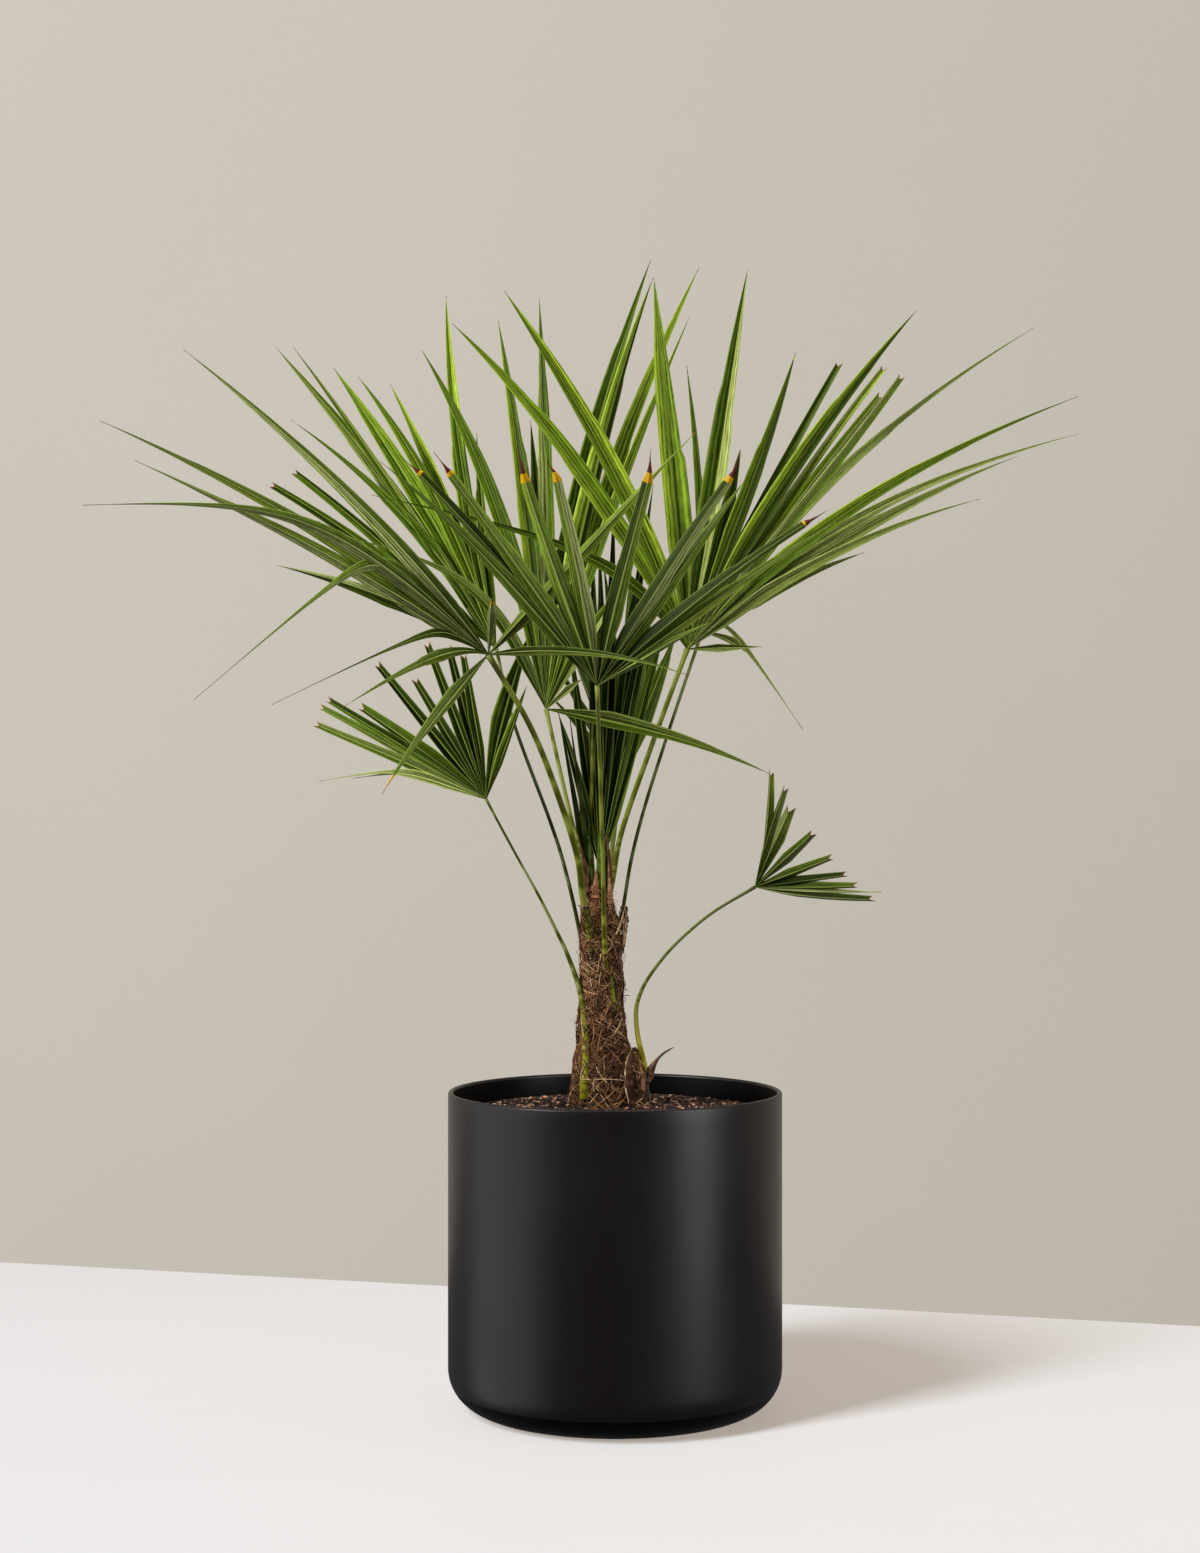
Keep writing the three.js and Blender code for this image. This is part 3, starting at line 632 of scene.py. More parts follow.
fronds = {
    "front": {
        "hub": (-16, 648), "depth": -150, "lift": -0.3, "swing": 0, "cup": 0, "face": 1,
        "stalk": [(-4, 372, -8), (-8, 395, -17), (-10, 440, -39), (-11, 491, -66)], "thick": (2.6, 1.6),
        "leaflets": [
            (-38, -44, 281, 15), (-35, -40, 268, 13), (-32, -35, 256, 15), (-21, -19, 227, 16),
            (-9, -11, 208, 15), (12, 14, 217, 16), (31, 33, 245, 14), (36, 35.5, 226, 14),
            (47, 52.5, 261, 13), (52, 56, 269, 13), (56, 61, 119, 13),
        ],
        "tints": "mid mid/dark mid/fresh fresh mid/pale dark/fresh dark/pale mid/fresh dark/mid mid/bright fresh",
        "burnt": {3: (8, 25), 4: (9, 12), 5: (9, 20), 6: (6, 22), 2: (4, 22), 1: (3, 17), 8: (2, 23), 9: (1.5, 9)},
    },
    "left": {
        "hub": (-114, 676), "depth": -120, "lift": -0.1, "swing": 0, "cup": 0.3, "face": 1,
        "stalk": [
            (-19, 412, -9), (-24, 433, -17), (-29, 459, -28), (-33, 491, -40), (-50, 546, -62), (-76, 611, -90),
        ],
        "thick": (3.7, 2.2),
        "leaflets": [
            (-137, -143, 158, 12), (-69, -110, 139, 14, 0, 0, 0.26, 1.5), (-56, -103, 200, 9, 0, 0, 0.26, 4),
            (-55, -67, 207, 18), (-56, -61, 363, 13), (-48, -52, 194, 11), (-50, -59, 408, 13),
            (-37, -45, 388, 14), (4, 4, 51, 14), (43, 43, 274, 13), (82, 96, 181, 8, 0, -80),
            (-45.3, -98.5, 268, 16, 0, -30, 0.53, 5), (-47.5, -69.8, 389, 13, 0, -35, 0.53, 2.2),
        ],
        "tints": "bright/mid bright/mid fresh/dark mid/pale pale/fresh pale/dark bright/mid pale/mid "
                 "grey/pale fresh/bright dark/bright pale/mid pale/mid",
        "burnt": {0: (14, 6), 8: (3, 3), 10: (1, 8), 11: (0, 6), 12: (0, 9)},
    },
    "left_rear": {
        "hub": (-107, 682), "depth": 60, "lift": 0.1, "swing": -0.3, "cup": 0, "face": -1,
        "stalk": [
            (-22, 380, 8), (-29, 395, 14), (-31, 421, 20), (-47, 491, 32), (-58, 525, 38), (-93, 621, 52),
        ],
        "thick": (2, 1.5),
        "leaflets": [
            (-49, -54, 250, 12, 1), (-46, -49, 241, 12, 1), (-27, -42, 276, 15), (-31, -36, 334, 15),
            (-31.5, -34, 326, 9), (-24, -30, 292, 20), (-16, -27, 273, 14),
            (-16, -22, 256, 14), (-12, -10, 260, 11), (-14, -8, 321, 16), (-7, -5, 194, 12),
        ],
        # the first two leaflets' darker tints are painted shade behind the left fan
        "tints": "dark/mid mid/dark mid grey/mid mid/grey fresh fresh/mid fresh/bright mid fresh/bright mid",
    },
    "mid": {
        "hub": (-62, 627), "depth": 10, "lift": 0.15, "swing": 0, "cup": 0.25, "face": -1,
        "stalk": [(-14, 452, 1), (-22, 473, 3), (-35, 512, 5)], "thick": (2.4, 1.7),
        "leaflets": [
            (-23, -51, 254, 12, 0, 0, 0.52, 2), (-8, -19, 342, 16), (-5, -7, 353, 17), (-3, -3, 260, 16),
            (1.5, -1, 369, 16), (5, 13, 416, 18), (9, 14, 400, 18), (13, 19, 419, 17), (17, 20, 375, 10),
            (30, 31, 126, 17), (48, 50, 42, 14), (98, 106, 210, 15),
        ],
        "tints": "mid/grey fresh/mid bright/mid pale/mid pale/mid mid bright/night bright/fresh bright/mid "
                 "fresh/pale pale grey/mid",
        "burnt": {9: (2, 3)},
    },
    "right": {
        "hub": (65, 681), "depth": 10, "lift": -0.1, "swing": 0, "cup": 0.22, "face": -1,
        "stalk": [(-6, 455, 4), (-2, 475, 7), (5, 513, 9), (34, 597, 10)], "thick": (2.8, 2.1),
        "leaflets": [
            (-30, -64, 317, 13, 0, 0, 0.32, 1.6), (-26, -36, 362, 17), (-18, -27, 362, 18), (-4, -5, 335, 24),
            (10, 9, 345, 22), (16, 15, 186, 14), (22, 20, 284, 15), (27, 28, 292, 11, 1), (27, 34, 368, 15),
            (33, 35, 310, 10, 1), (40, 38, 313, 11, 1), (35, 47, 425, 13), (43, 57, 419, 14),
            (45, 61, 402, 13), (50.5, 63, 296, 12), (88, 88, 68, 9),
        ],
        "tints": "mid bright/fresh fresh/bright bright/fresh mid/pale bright/mid fresh/dark mid bright/dark "
                 "pale/bright pale/mid pale/grey bright/mid pale pale/grey grey/pale",
    },
    "right_rear": {
        "hub": (78, 696), "depth": 90, "lift": 0.12, "swing": 0.3, "cup": 0, "face": -1,
        "stalk": [(2, 420, 8), (6.5, 443, 20), (14.5, 491, 34), (25, 533, 46), (45, 597, 64)], "thick": (1.8, 1.5),
        "leaflets": [
            (-8, -7, 129, 12), (0, -3, 241, 9), (12, 12, 168, 14), (36, 37, 268, 17, 1), (53, 61, 325, 17),
            (56, 64, 163, 15), (55, 134, 126, 13, 0, 0, 0.21, 3), (96, 118, 58, 12),
        ],
        "tints": "night fresh/mid bright/dark fresh/pale pale/grey grey pale pale",
        "burnt": {1: (1, 8)},
    },
    "low_left": {
        "hub": (-116, 546), "depth": -20, "lift": 0.6, "swing": -0.3, "cup": 0, "face": -1,
        "stalk": [
            (-27, 276, -27), (-26, 316, -19), (-28.5, 359, -9), (-33, 379, -8), (-44, 409, -9),
            (-54.5, 431, -11), (-68, 458, -14), (-83, 485, -16), (-100, 516, -18),
        ],
        "thick": (5.2, 1.1, 2.8),
        "leaflets": [
            (-69, -84, 151, 10, 0, 0, 0.53, 3), (-69, -81, 121, 10, 0, 0, 0.6, 3), (-65, -66, 168, 11, 1),
            (-60, -61, 170, 11, 1), (-56, -58, 168, 11, 1), (-50, -54, 140, 15, 1), (-38, -39, 157, 12, 1),
            (-30, -31, 126, 12, 1), (-20, -21, 150, 12, 1), (-13, -14, 141, 12, 1), (-7, -9, 132, 12, 1),
            (8, 15, 154, 19), (19, 20, 108, 9),
        ],
        "tints": "pale pale mid/grey grey/mid mid/dark dark/mid night/dark dark dark dark/night dark "
                 "mid/night fresh/night",
    },
    "low_right": {
        "hub": (126, 467), "depth": 0, "lift": -0.7, "swing": -0.9, "cup": 0, "face": 1,
        "stalk": [
            (24, 283, -4), (27, 301, -6), (20.5, 333, -6), (19, 356, -5), (22, 369, -5), (28, 382, -4),
            (40, 399, -3), (53, 414, -2), (85, 442, -1),
        ],
        "thick": (2.9, 1.3, 2),
        "leaflets": [
            (17, 8, 105, 10, 1), (15, 17, 94, 10, 1), (26, 24, 78, 16, 1), (47, 47, 72, 12, 1),
            (68, 69, 74, 10, 1), (82, 82, 83, 10, 1), (89, 89, 92, 10, 1), (95, 92, 114, 8),
            (100, 96, 107, 10, 1),
        ],
        "tints": "grey/bright mid/pale pale/bright mid/pale mid/bright dark/mid mid/fresh pale/mid dark/grey",
    },
    "centre": {
        "hub": (-14, 484.7), "depth": 3, "lift": 0.3, "swing": 0, "cup": 0, "face": -1,
        "leaflets": [
            (-12, -15, 145, 9), (-6, -8, 207, 12), (-2, -1, 288, 13), (1, 0, 297, 12),
            (4, 2, 331, 14), (8, 8, 347, 14), (11, 11, 282, 13), (15, 15, 231, 12),
        ],
        # the night and dark tints here are painted shade inside the crown
        "tints": "night/dark dark/night night/mid mid/night night dark night/dark mid",
    },
    "back": {
        "hub": (5, 560), "depth": 110, "turn": 55, "lift": 1.25, "swing": 0, "cup": 0, "face": -1,
        "stalk": [(-8, 438, 6), (-5, 480, 40), (1, 530, 84)], "thick": (2.6, 1.9),
        "leaflets": [
            (-50, -55, 150, 15), (-40, -44, 170, 16), (-29, -32, 180, 17), (-18, -20, 190, 18),
            (-7, -8, 200, 18), (4, 5, 198, 18), (14, 15, 192, 18), (23, 25, 182, 17), (31, 33, 165, 16),
        ],
        "tints": "mid dark mid mid dark mid mid dark mid",
    },
    "rear": {
        "hub": (-9, 470), "depth": 120, "turn": 90, "lift": 0, "swing": 0, "cup": 0, "face": -1,
        "stalk": [(-9, 392, 8), (-9, 425, 50), (-9, 455, 96)], "thick": (2.8, 1.9),
        "leaflets": [
            (42, 46, 190, 15), (53, 58, 205, 16), (64, 70, 215, 17), (75, 82, 220, 17),
            (86, 95, 215, 17), (97, 108, 205, 16), (108, 121, 190, 15),
        ],
        "tints": "mid dark mid mid dark mid mid",
    },
}

blade = {  # mm, degrees and shares of a leaflet's reach
    "fusedOverlap": 0.5, "widestPleat": 14, "narrowestPleat": 7, "tipWidth": 0.5,
    "taperStart": 0.3, "uprightLean": 38, "uprightTaper": 2.3, "slimTaper": 1.1, "cutTaper": 0.5,
    "stagger": 0.0345, "staggerFrom": 35,  # every other leaflet in front, from this far out
    "rows": 44, "columns": (-1, -0.82, -0.6, -0.38, -0.16, -0.05, 0.05, 0.16, 0.38, 0.6, 0.82, 1),
    "rise": (1.3, 0.85), "riseFade": 45, "riseSpread": (0.75, 1.15), "crown": (-0.05, 0.09),
    "skin": 0.42, "rib": 0.9, "seed": 21, "mapStep": 1.7,
    "roll": 0.16, "waver": 0.05, "sway": 1.1, "heave": 2.0, "swayReach": 300,
    "cutNotch": 4.0, "cutEdge": 1.3, "cutRun": 9, "cutSlant": 1.5, "cutRagged": 0.5,
    "dryBand": [0, 1.5, 3], "dryTip": (0.5, 5),  # at the tips with no scorch of their own
    "burntFrom": 6, "witheredFrom": 11, "witheredRoll": 1.8, "witheredBend": 5.0, "witheredTaper": 0.5,
    "shoulder": (0.5, 0.85), "narrowing": (0.04, 0.24),  # where one lobe's tip has split off, and by how much
    "veinShare": 0.46, "tipVeinShare": 0.25, "tipSheen": 0.1,
}

leafTintsAndPaintedLight = {  # upper face, underside; partly the leaves' own colours and partly painted light: night and dark stand partly for painted shade, bright partly for painted light, grey and pale partly for painted sheen
    "night": (srgb(21, 32, 2), srgb(32, 44, 10)),
    "dark": (srgb(44, 62, 8), srgb(55, 72, 20)),
    "mid": (srgb(80, 104, 18), srgb(93, 114, 34)),
    "fresh": (srgb(118, 146, 32), srgb(124, 148, 50)),
    "bright": (srgb(162, 188, 52), srgb(164, 184, 70)),
    "grey": (srgb(120, 136, 58), srgb(132, 146, 74)),
    "pale": (srgb(168, 180, 98), srgb(174, 186, 110)),
}
sheenOf = {"night": 0.03, "dark": 0.05, "mid": 0.08, "fresh": 0.1, "bright": 0.12, "grey": 0.2, "pale": 0.2}
leafRib = {"upper": srgb(168, 184, 84), "under": srgb(180, 192, 108)}
tipTones = {"straw": srgb(222, 170, 14), "rust": srgb(150, 84, 34), "burnt": srgb(96, 42, 26)}


def veinAndShadeGroup():
    group, given, out = newGroup(
        "leafletVeinsAndShade",
        [("Base", "Color", (0, 0, 0, 1)), ("Rib", "Color", (1, 1, 1, 1)), ("Vein share", "Float", 0.3)])
    place = addNode(group, "UVMap", {"uv_map": "blade"}).outputs[0]
    parts = addNode(group, "SeparateXYZ", {}, {"Vector": place}).outputs
    fromRib = calc(group, "ABSOLUTE", parts[0])
    fromHub = calc(group, "MODULO", parts[1], blade["mapStep"])
    ribMask = fade(group, fromRib, 0.05, 0.15, 1.0, 0.0)
    edgeMask = fade(group, fromRib, 0.84, 0.95)
    wander = grainAt(group, place, (1.5, 30, 1), 2)
    across = calc(group, "ADD", calc(group, "MULTIPLY", parts[0], 17.0), calc(group, "MULTIPLY", wander, 6.0))
    lines = calc(group, "SINE", across)
    streaks = grainAt(group, place, (9, 7, 1), 5, 0.65)
    mottle = grainAt(group, place, (2.2, 70, 1), 4, 0.6)
    veins = calc(group, "MULTIPLY", lines, given["Vein share"])
    uneven = calc(group, "ADD", fade(group, streaks, 0.3, 0.7, -0.5, 0.5), fade(group, mottle, 0.3, 0.7, -0.24, 0.24))
    # painted shade: darker near the hubs, where the leaflets crowd, and towards the rib in the fold's valley
    paintedHubShade = fade(group, fromHub, 0.01, 0.16, 0.42, 1.0)
    paintedFoldShade = fade(group, fromRib, 0.12, 0.75, 0.66, 1.14)
    shade = calc(group, "MULTIPLY", calc(group, "ADD", calc(group, "ADD", uneven, veins), 1.0), paintedHubShade)
    shade = calc(group, "MULTIPLY", shade, paintedFoldShade)
    body = mixColours(group, 1.0, given["Base"], shade, "MULTIPLY")
    lineMask = calc(group, "MAXIMUM", calc(group, "MULTIPLY", ribMask, 0.85), calc(group, "MULTIPLY", edgeMask, 0.5))
    group.links.new(mixColours(group, lineMask, body, given["Rib"]), out["Color"])
    group.links.new(fade(group, calc(group, "ADD", streaks, mottle), 0.7, 1.3, 0.38, 0.58), out["Roughness"])
    raised = calc(group, "ADD", calc(group, "MULTIPLY", lines, 0.3), calc(group, "MULTIPLY", streaks, 0.7))
    group.links.new(raised, out["Height"])
    return group


def leafMaterials():
    veins = veinAndShadeGroup()
    made = {}
    for tint, sides in leafTintsAndPaintedLight.items():
        for side, base in zip(("upper", "under"), sides):
            rib = tuple(0.55 * a + 0.9 * b for a, b in zip(leafRib[side], base))
            values = {"Base": base, "Rib": rib, "Vein share": blade["veinShare"]}
            made[tint, side] = newMaterial(f"leaf_{tint}_{side}", veins, values, (0.4, 0.0004), sheenOf[tint])
    for tone, base in tipTones.items():
        values = {"Base": base, "Rib": base, "Vein share": blade["tipVeinShare"]}
        made[tone, "upper"] = newMaterial(f"tip_{tone}", veins, values, (0.5, 0.0004), blade["tipSheen"])
    return made


leafLooks = leafMaterials()
lookOrder = list(leafLooks)


def onSight(x, z, depth):  # arrays of seen places and depths to places in space, mm
    spread = (depth - eye[1]) / -eye[1]
    return np.stack([eye[0] + (x - eye[0]) * spread, depth + 0 * x, eye[2] + (z - eye[2]) * spread], axis=-1)


def onBlade(frond, u, v, offset):
    turn = math.radians(frond.get("turn", 0))
    lean = frond["lift"] * v + frond["swing"] * u - frond["cup"] * np.abs(u)
    depth = frond["depth"] + lean + u * math.sin(turn) + offset
    return onSight(frond["hub"][0] + u * math.cos(turn), frond["hub"][1] + v, depth)


def unit(vectors):
    return vectors / (np.linalg.norm(vectors, axis=-1, keepdims=True) + 1e-12)


def pleatsOf(frond, index):  # angles to the leaflets at both sides
    leans = [leaflet[0] for leaflet in frond["leaflets"]]
    here = leans[index]
    left = [here - lean for lean in leans if lean < here]
    right = [lean - here for lean in leans if lean > here]
    return [max(blade["narrowestPleat"], min([blade["widestPleat"]] + gaps)) for gaps in (left, right)]


def smooth(low, high, x):
    t = np.clip((x - low) / (high - low), 0, 1)
    return t * t * (3 - 2 * t)


def leafletOf(frond, index):  # its eight values, the last four where they aren't the usual ones
    given = frond["leaflets"][index]
    return given + (0, 0, 0.5, 1)[len(given) - 4:]


def centreLine(frond, index, t):  # from the hub towards the knee, and to the tip
    startLean, tipLean, reach, _, _, _, kneeAt, sharpness = leafletOf(frond, index)

    def towards(lean):
        return np.array([math.sin(math.radians(lean)), math.cos(math.radians(lean))])

    atHub, atKnee, atTip = (1 - t) ** 2, 2 * sharpness * t * (1 - t), t * t
    knee, tip = towards(startLean) * kneeAt * reach, towards(tipLean) * reach
    return (atKnee * knee + atTip * tip) / (atHub + atKnee + atTip)


def halfWidths(frond, index, shares, out, burntBand, burntEnd, dice):  # of both halves along the leaflet
    _, tipLean, reach, width, isCut, *_ = leafletOf(frond, index)
    tail = np.maximum(0, (shares - blade["taperStart"]) / (1 - blade["taperStart"]))
    power = blade["uprightTaper"] if abs(tipLean) < blade["uprightLean"] else blade["slimTaper"]
    taper = 1 - blade["cutTaper"] * tail if isCut else 1 - tail ** power
    withered = burntEnd > blade["witheredFrom"]
    if withered:  # the end shrivels from a leaflet that is still wide
        taper = 1 - blade["witheredTaper"] * tail
    shoulder = dice.uniform(*blade["shoulder"], 2)
    narrowing = dice.uniform(*blade["narrowing"], 2)
    pleats = pleatsOf(frond, index)
    halves = []
    for i in (0, 1):
        full = np.maximum(width * taper, blade["tipWidth"]) / 2
        if not isCut:
            full = full * (1 - narrowing[i] * smooth(shoulder[i], shoulder[i] + 0.02, shares))
            if withered:
                shrunk = smooth(1 - (burntEnd + burntBand) / reach, 1 - (burntEnd - 4) / reach, shares)
                full = full * (1 - 0.6 * shrunk) * (1 - 0.8 * smooth(1 - burntEnd / reach, 1, shares)) + 0.12
        pleat = pleats[0] if (i == 0) == (frond["face"] < 0) else pleats[1]
        halves.append(np.minimum(out * math.tan(math.radians(pleat / 2)) + blade["fusedOverlap"], full))
    return halves


def shellFaces(rows, cols):  # quads of a thin closed shell: top, bottom, both edges, start and end
    grid = np.arange(rows * cols).reshape(rows, cols)
    under = grid + rows * cols
    top = np.stack([grid[:-1, :-1], grid[:-1, 1:], grid[1:, 1:], grid[1:, :-1]], -1).reshape(-1, 4)
    bottom = top[:, ::-1] + rows * cols
    leftEdge = np.stack([grid[:-1, 0], grid[1:, 0], under[1:, 0], under[:-1, 0]], -1)
    rightEdge = np.stack([grid[:-1, -1], under[:-1, -1], under[1:, -1], grid[1:, -1]], -1)
    start = np.stack([grid[0, :-1], under[0, :-1], under[0, 1:], grid[0, 1:]], -1)
    end = np.stack([grid[-1, :-1], grid[-1, 1:], under[-1, 1:], under[-1, :-1]], -1)
    return np.concatenate([top, bottom, leftEdge, rightEdge, start, end])


def shellLooks(frond, index, shares, burntBand, burntEnd):  # the material of each of those quads
    _, _, reach, _, isCut, *_ = leafletOf(frond, index)
    columns = np.array(blade["columns"])
    names = frond["tints"].split()[index].split("/")  # one, or the left half's and the right half's as seen; where they differ, they partly paint light on one side of the fold and shade on the other
    middles = (columns[:-1] + columns[1:]) / 2
    halfNames = [names[0] if (middle < 0) == (frond["face"] < 0) else names[-1] for middle in middles]
    toTip = (1 - (shares[:-1] + shares[1:]) / 2) * reach
    looksOfSides = []
    for face in ("upper", "under"):
        sideLooks = np.tile([lookOrder.index((tint, face)) for tint in halfNames], (len(shares) - 1, 1))
        if isCut:
            sideLooks[toTip < blade["cutEdge"]] = lookOrder.index(("rust", "upper"))
        else:
            sideLooks[toTip < burntEnd + burntBand] = lookOrder.index(("straw", "upper"))
            tip = "burnt" if burntEnd > blade["burntFrom"] else "rust"
            sideLooks[toTip < burntEnd] = lookOrder.index((tip, "upper"))
        looksOfSides.append(sideLooks)
    upperLooks, underLooks = looksOfSides
    return np.concatenate([upperLooks.ravel(), underLooks.ravel(), upperLooks[:, 0], upperLooks[:, -1],
                           upperLooks[0], upperLooks[-1]])


def bakeMapOf(frond, index, shares, faces):  # each side and each edge gets a strip of the map for itself
    columns = np.array(blade["columns"])
    rows, cols = len(shares), len(columns)
    strips = 2 * len(frond["leaflets"])
    bakeU = 0.5 + 0.44 * np.broadcast_to(columns[None], (rows, cols))
    bakeV = np.broadcast_to(0.02 + 0.96 * shares[:, None], (rows, cols))
    topMap = np.stack([(2 * index + bakeU) / strips, bakeV], -1)
    underMap = np.stack([(2 * index + 1 + bakeU) / strips, bakeV], -1)
    bakeMap = np.concatenate([topMap.reshape(-1, 2), underMap.reshape(-1, 2)])[faces]
    rowLow, rowHigh = bakeV[:-1, 0], bakeV[1:, 0]
    begin = 2 * (rows - 1) * (cols - 1)
    for k, inner in enumerate((0.0, 0.97)):
        low = (2 * index + inner + 0.005) / strips
        high = (2 * index + inner + 0.03) / strips
        quad = [(low, rowLow), (low, rowHigh), (high, rowHigh), (high, rowLow)]
        if k == 1:
            quad = [(low, rowLow), (high, rowLow), (high, rowHigh), (low, rowHigh)]
        strip = np.stack([np.stack([u + 0 * rowLow, v], -1) for u, v in quad], 1)
        bakeMap[begin + k * (rows - 1):begin + (k + 1) * (rows - 1)] = strip
    first, second = topMap[0, :-1, 0], topMap[0, 1:, 0]
    begin += 2 * (rows - 1)
    for k, (low, high) in enumerate(((0.004, 0.016), (0.984, 0.996))):
        quad = [(first, low), (first, high), (second, high), (second, low)]
        if k == 1:
            quad = [(first, low), (second, low), (second, high), (first, high)]
        strip = np.stack([np.stack([u, v + 0 * first], -1) for u, v in quad], 1)
        bakeMap[begin + k * (cols - 1):begin + (k + 1) * (cols - 1)] = strip
    return bakeMap


def shapeLeaflet(frond, index, dice):
    _, _, reach, width, isCut, drift, *_ = leafletOf(frond, index)
    columns = np.array(blade["columns"])
    burntBand, burntEnd = frond.get("burnt", {}).get(index, (0, 0))
    if not burntEnd and not isCut:
        burntBand, burntEnd = dice.choice(blade["dryBand"]), dice.uniform(*blade["dryTip"])
    shares = np.linspace(0, 1, blade["rows"])
    marks = [blade["cutEdge"], 0.4] if isCut else [burntEnd, burntEnd + burntBand, 1.5]
    shares = np.unique(np.concatenate([shares, 1 - np.array(marks) / reach]))

    # place and heading of the rib, and the two ways square to it
    t = shares[:, None]
    flat = centreLine(frond, index, t)
    before, after = np.maximum(0, t - 0.01), np.minimum(1, t + 0.01)
    heading = unit(centreLine(frond, index, after) - centreLine(frond, index, before))
    out = np.linalg.norm(flat, axis=1)
    side = blade["stagger"] if index % 2 else -blade["stagger"]
    offset = side * np.maximum(0, out - blade["staggerFrom"]) + drift * shares
    centre = onBlade(frond, flat[:, 0], flat[:, 1], offset)
    ahead = onBlade(frond, flat[:, 0] + heading[:, 0], flat[:, 1] + heading[:, 1], offset)
    beside = onBlade(frond, flat[:, 0] + heading[:, 1], flat[:, 1] - heading[:, 0], offset)
    forward = unit(ahead - centre)
    normal = unit(np.cross(forward, beside - centre)) * frond["face"]
    across = np.cross(forward, normal)

    # section: two halves folded up from the rib, each a little crowned
    halves = halfWidths(frond, index, shares, out, burntBand, burntEnd, dice)
    half = np.where(columns[None] < 0, halves[0][:, None], halves[1][:, None])
    crown = dice.uniform(*blade["crown"])
    rise = blade["rise"][1] + (blade["rise"][0] - blade["rise"][1]) * np.exp(-out / blade["riseFade"])
    rise = rise * dice.uniform(*blade["riseSpread"])
    x = columns[None] * half
    h = (np.abs(columns)[None] - 0.5) * half * rise[:, None] + np.sin(np.pi * np.abs(columns))[None] * half * crown
    roll = dice.normal(0, blade["roll"]) * shares ** 1.3
    roll = roll + blade["waver"] * np.sin(shares * 7 + dice.uniform(0, 6))
    bendOut = 0 * shares
    if burntEnd > blade["witheredFrom"]:
        burntAt = 1 - (burntEnd + burntBand * 0.5) / reach
        roll = roll + blade["witheredRoll"] * smooth(burntAt, 1, shares)
        bendOut = blade["witheredBend"] * smooth(burntAt - 0.01, 1.0, shares)
    turnedX = x * np.cos(roll)[:, None] - h * np.sin(roll)[:, None]
    turnedH = x * np.sin(roll)[:, None] + h * np.cos(roll)[:, None]
    phase = dice.uniform(0, 6, 3)
    amount = shares * (reach / blade["swayReach"])
    sway = blade["sway"] * np.sin(shares * 5 + phase[0]) * amount + bendOut * math.sin(phase[1])
    heave = blade["heave"] * np.sin(shares * 4.4 + phase[2]) * amount + bendOut
    middle = centre + across * sway[:, None] + normal * heave[:, None]
    skin = np.full(half.shape, blade["skin"])
    ribDepth = blade["rib"] * (1 - 0.6 * shares)[:, None] * np.exp(-(columns[None] * half / 0.7) ** 2)
    skin = (skin + ribDepth) * np.minimum(1, 0.3 + 2 * half / width)
    notch = np.zeros_like(half)
    if isCut:  # the cut end runs back to the rib and is a little ragged
        nearEnd = smooth(1 - blade["cutRun"] / reach, 1, shares)[:, None]
        slant = dice.uniform(-blade["cutSlant"], blade["cutSlant"])
        ragged = dice.uniform(-blade["cutRagged"], blade["cutRagged"], len(columns))[None]
        notch = nearEnd * (slant * columns[None] - blade["cutNotch"] * (1 - np.abs(columns))[None] + ragged)
    upper = (middle[:, None] + across[:, None] * turnedX[..., None] + normal[:, None] * turnedH[..., None]
             + forward[:, None] * notch[..., None])
    lower = upper - normal[:, None] * skin[..., None]
    places = np.concatenate([upper.reshape(-1, 3), lower.reshape(-1, 3)])

    faces = shellFaces(*half.shape)
    looks = shellLooks(frond, index, shares, burntBand, burntEnd)
    u = np.broadcast_to(columns[None], half.shape).ravel()
    v = np.broadcast_to((shares * reach * mm + blade["mapStep"] * index)[:, None], half.shape).ravel()
    bladeMap = np.stack([np.concatenate([u, u]), np.concatenate([v, v])], -1)[faces]
    return places, faces, looks, bladeMap, bakeMapOf(frond, index, shares, faces)


def buildFrond(name, frond, seed):
    dice = np.random.default_rng(seed)
    places, faces, looks, bladeMaps, bakeMaps = [], [], [], [], []
    total = 0
    for index in range(len(frond["leaflets"])):
        made = shapeLeaflet(frond, index, dice)
        places.append(made[0])
        faces.append(made[1] + total)
        total += len(made[0])
        for held, new in zip((looks, bladeMaps, bakeMaps), made[2:]):
            held.append(new)
    maps = {"OFBake": np.concatenate(bakeMaps), "blade": np.concatenate(bladeMaps)}
    mesh = joinedMesh(f"fan_{name}", np.concatenate(places) * mm, np.concatenate(faces),
                      [leafLooks[key] for key in lookOrder], np.concatenate(looks), maps)
    return finishPiece(f"fan_{name}", mesh, [f"frond_{name}"])


for number, (frondName, frondShape) in enumerate(fronds.items()):
    buildFrond(frondName, frondShape, blade["seed"] + number)
print("fans opened:", len(fronds))


# Stalks, the unopened leaf and the dry pieces at the foot

stalks = {
    "sides": 20, "steps": 44, "gloss": 0.35,
    "colours": {  # foot, middle, towards the fan
        "": (srgb(116, 122, 26), srgb(122, 132, 32), srgb(130, 140, 50)),
        "front": (srgb(132, 138, 30), srgb(126, 136, 36), srgb(142, 150, 62)),
        "left_rear": (srgb(72, 78, 24), srgb(80, 90, 28), srgb(116, 126, 48)),
        "right_rear": (srgb(84, 92, 28), srgb(96, 106, 32), srgb(122, 134, 50)),
        "low_left": (srgb(142, 142, 24), srgb(102, 114, 30), srgb(88, 102, 32)),
        "low_right": (srgb(180, 170, 26), srgb(106, 116, 34), srgb(98, 110, 36)),
    },
}


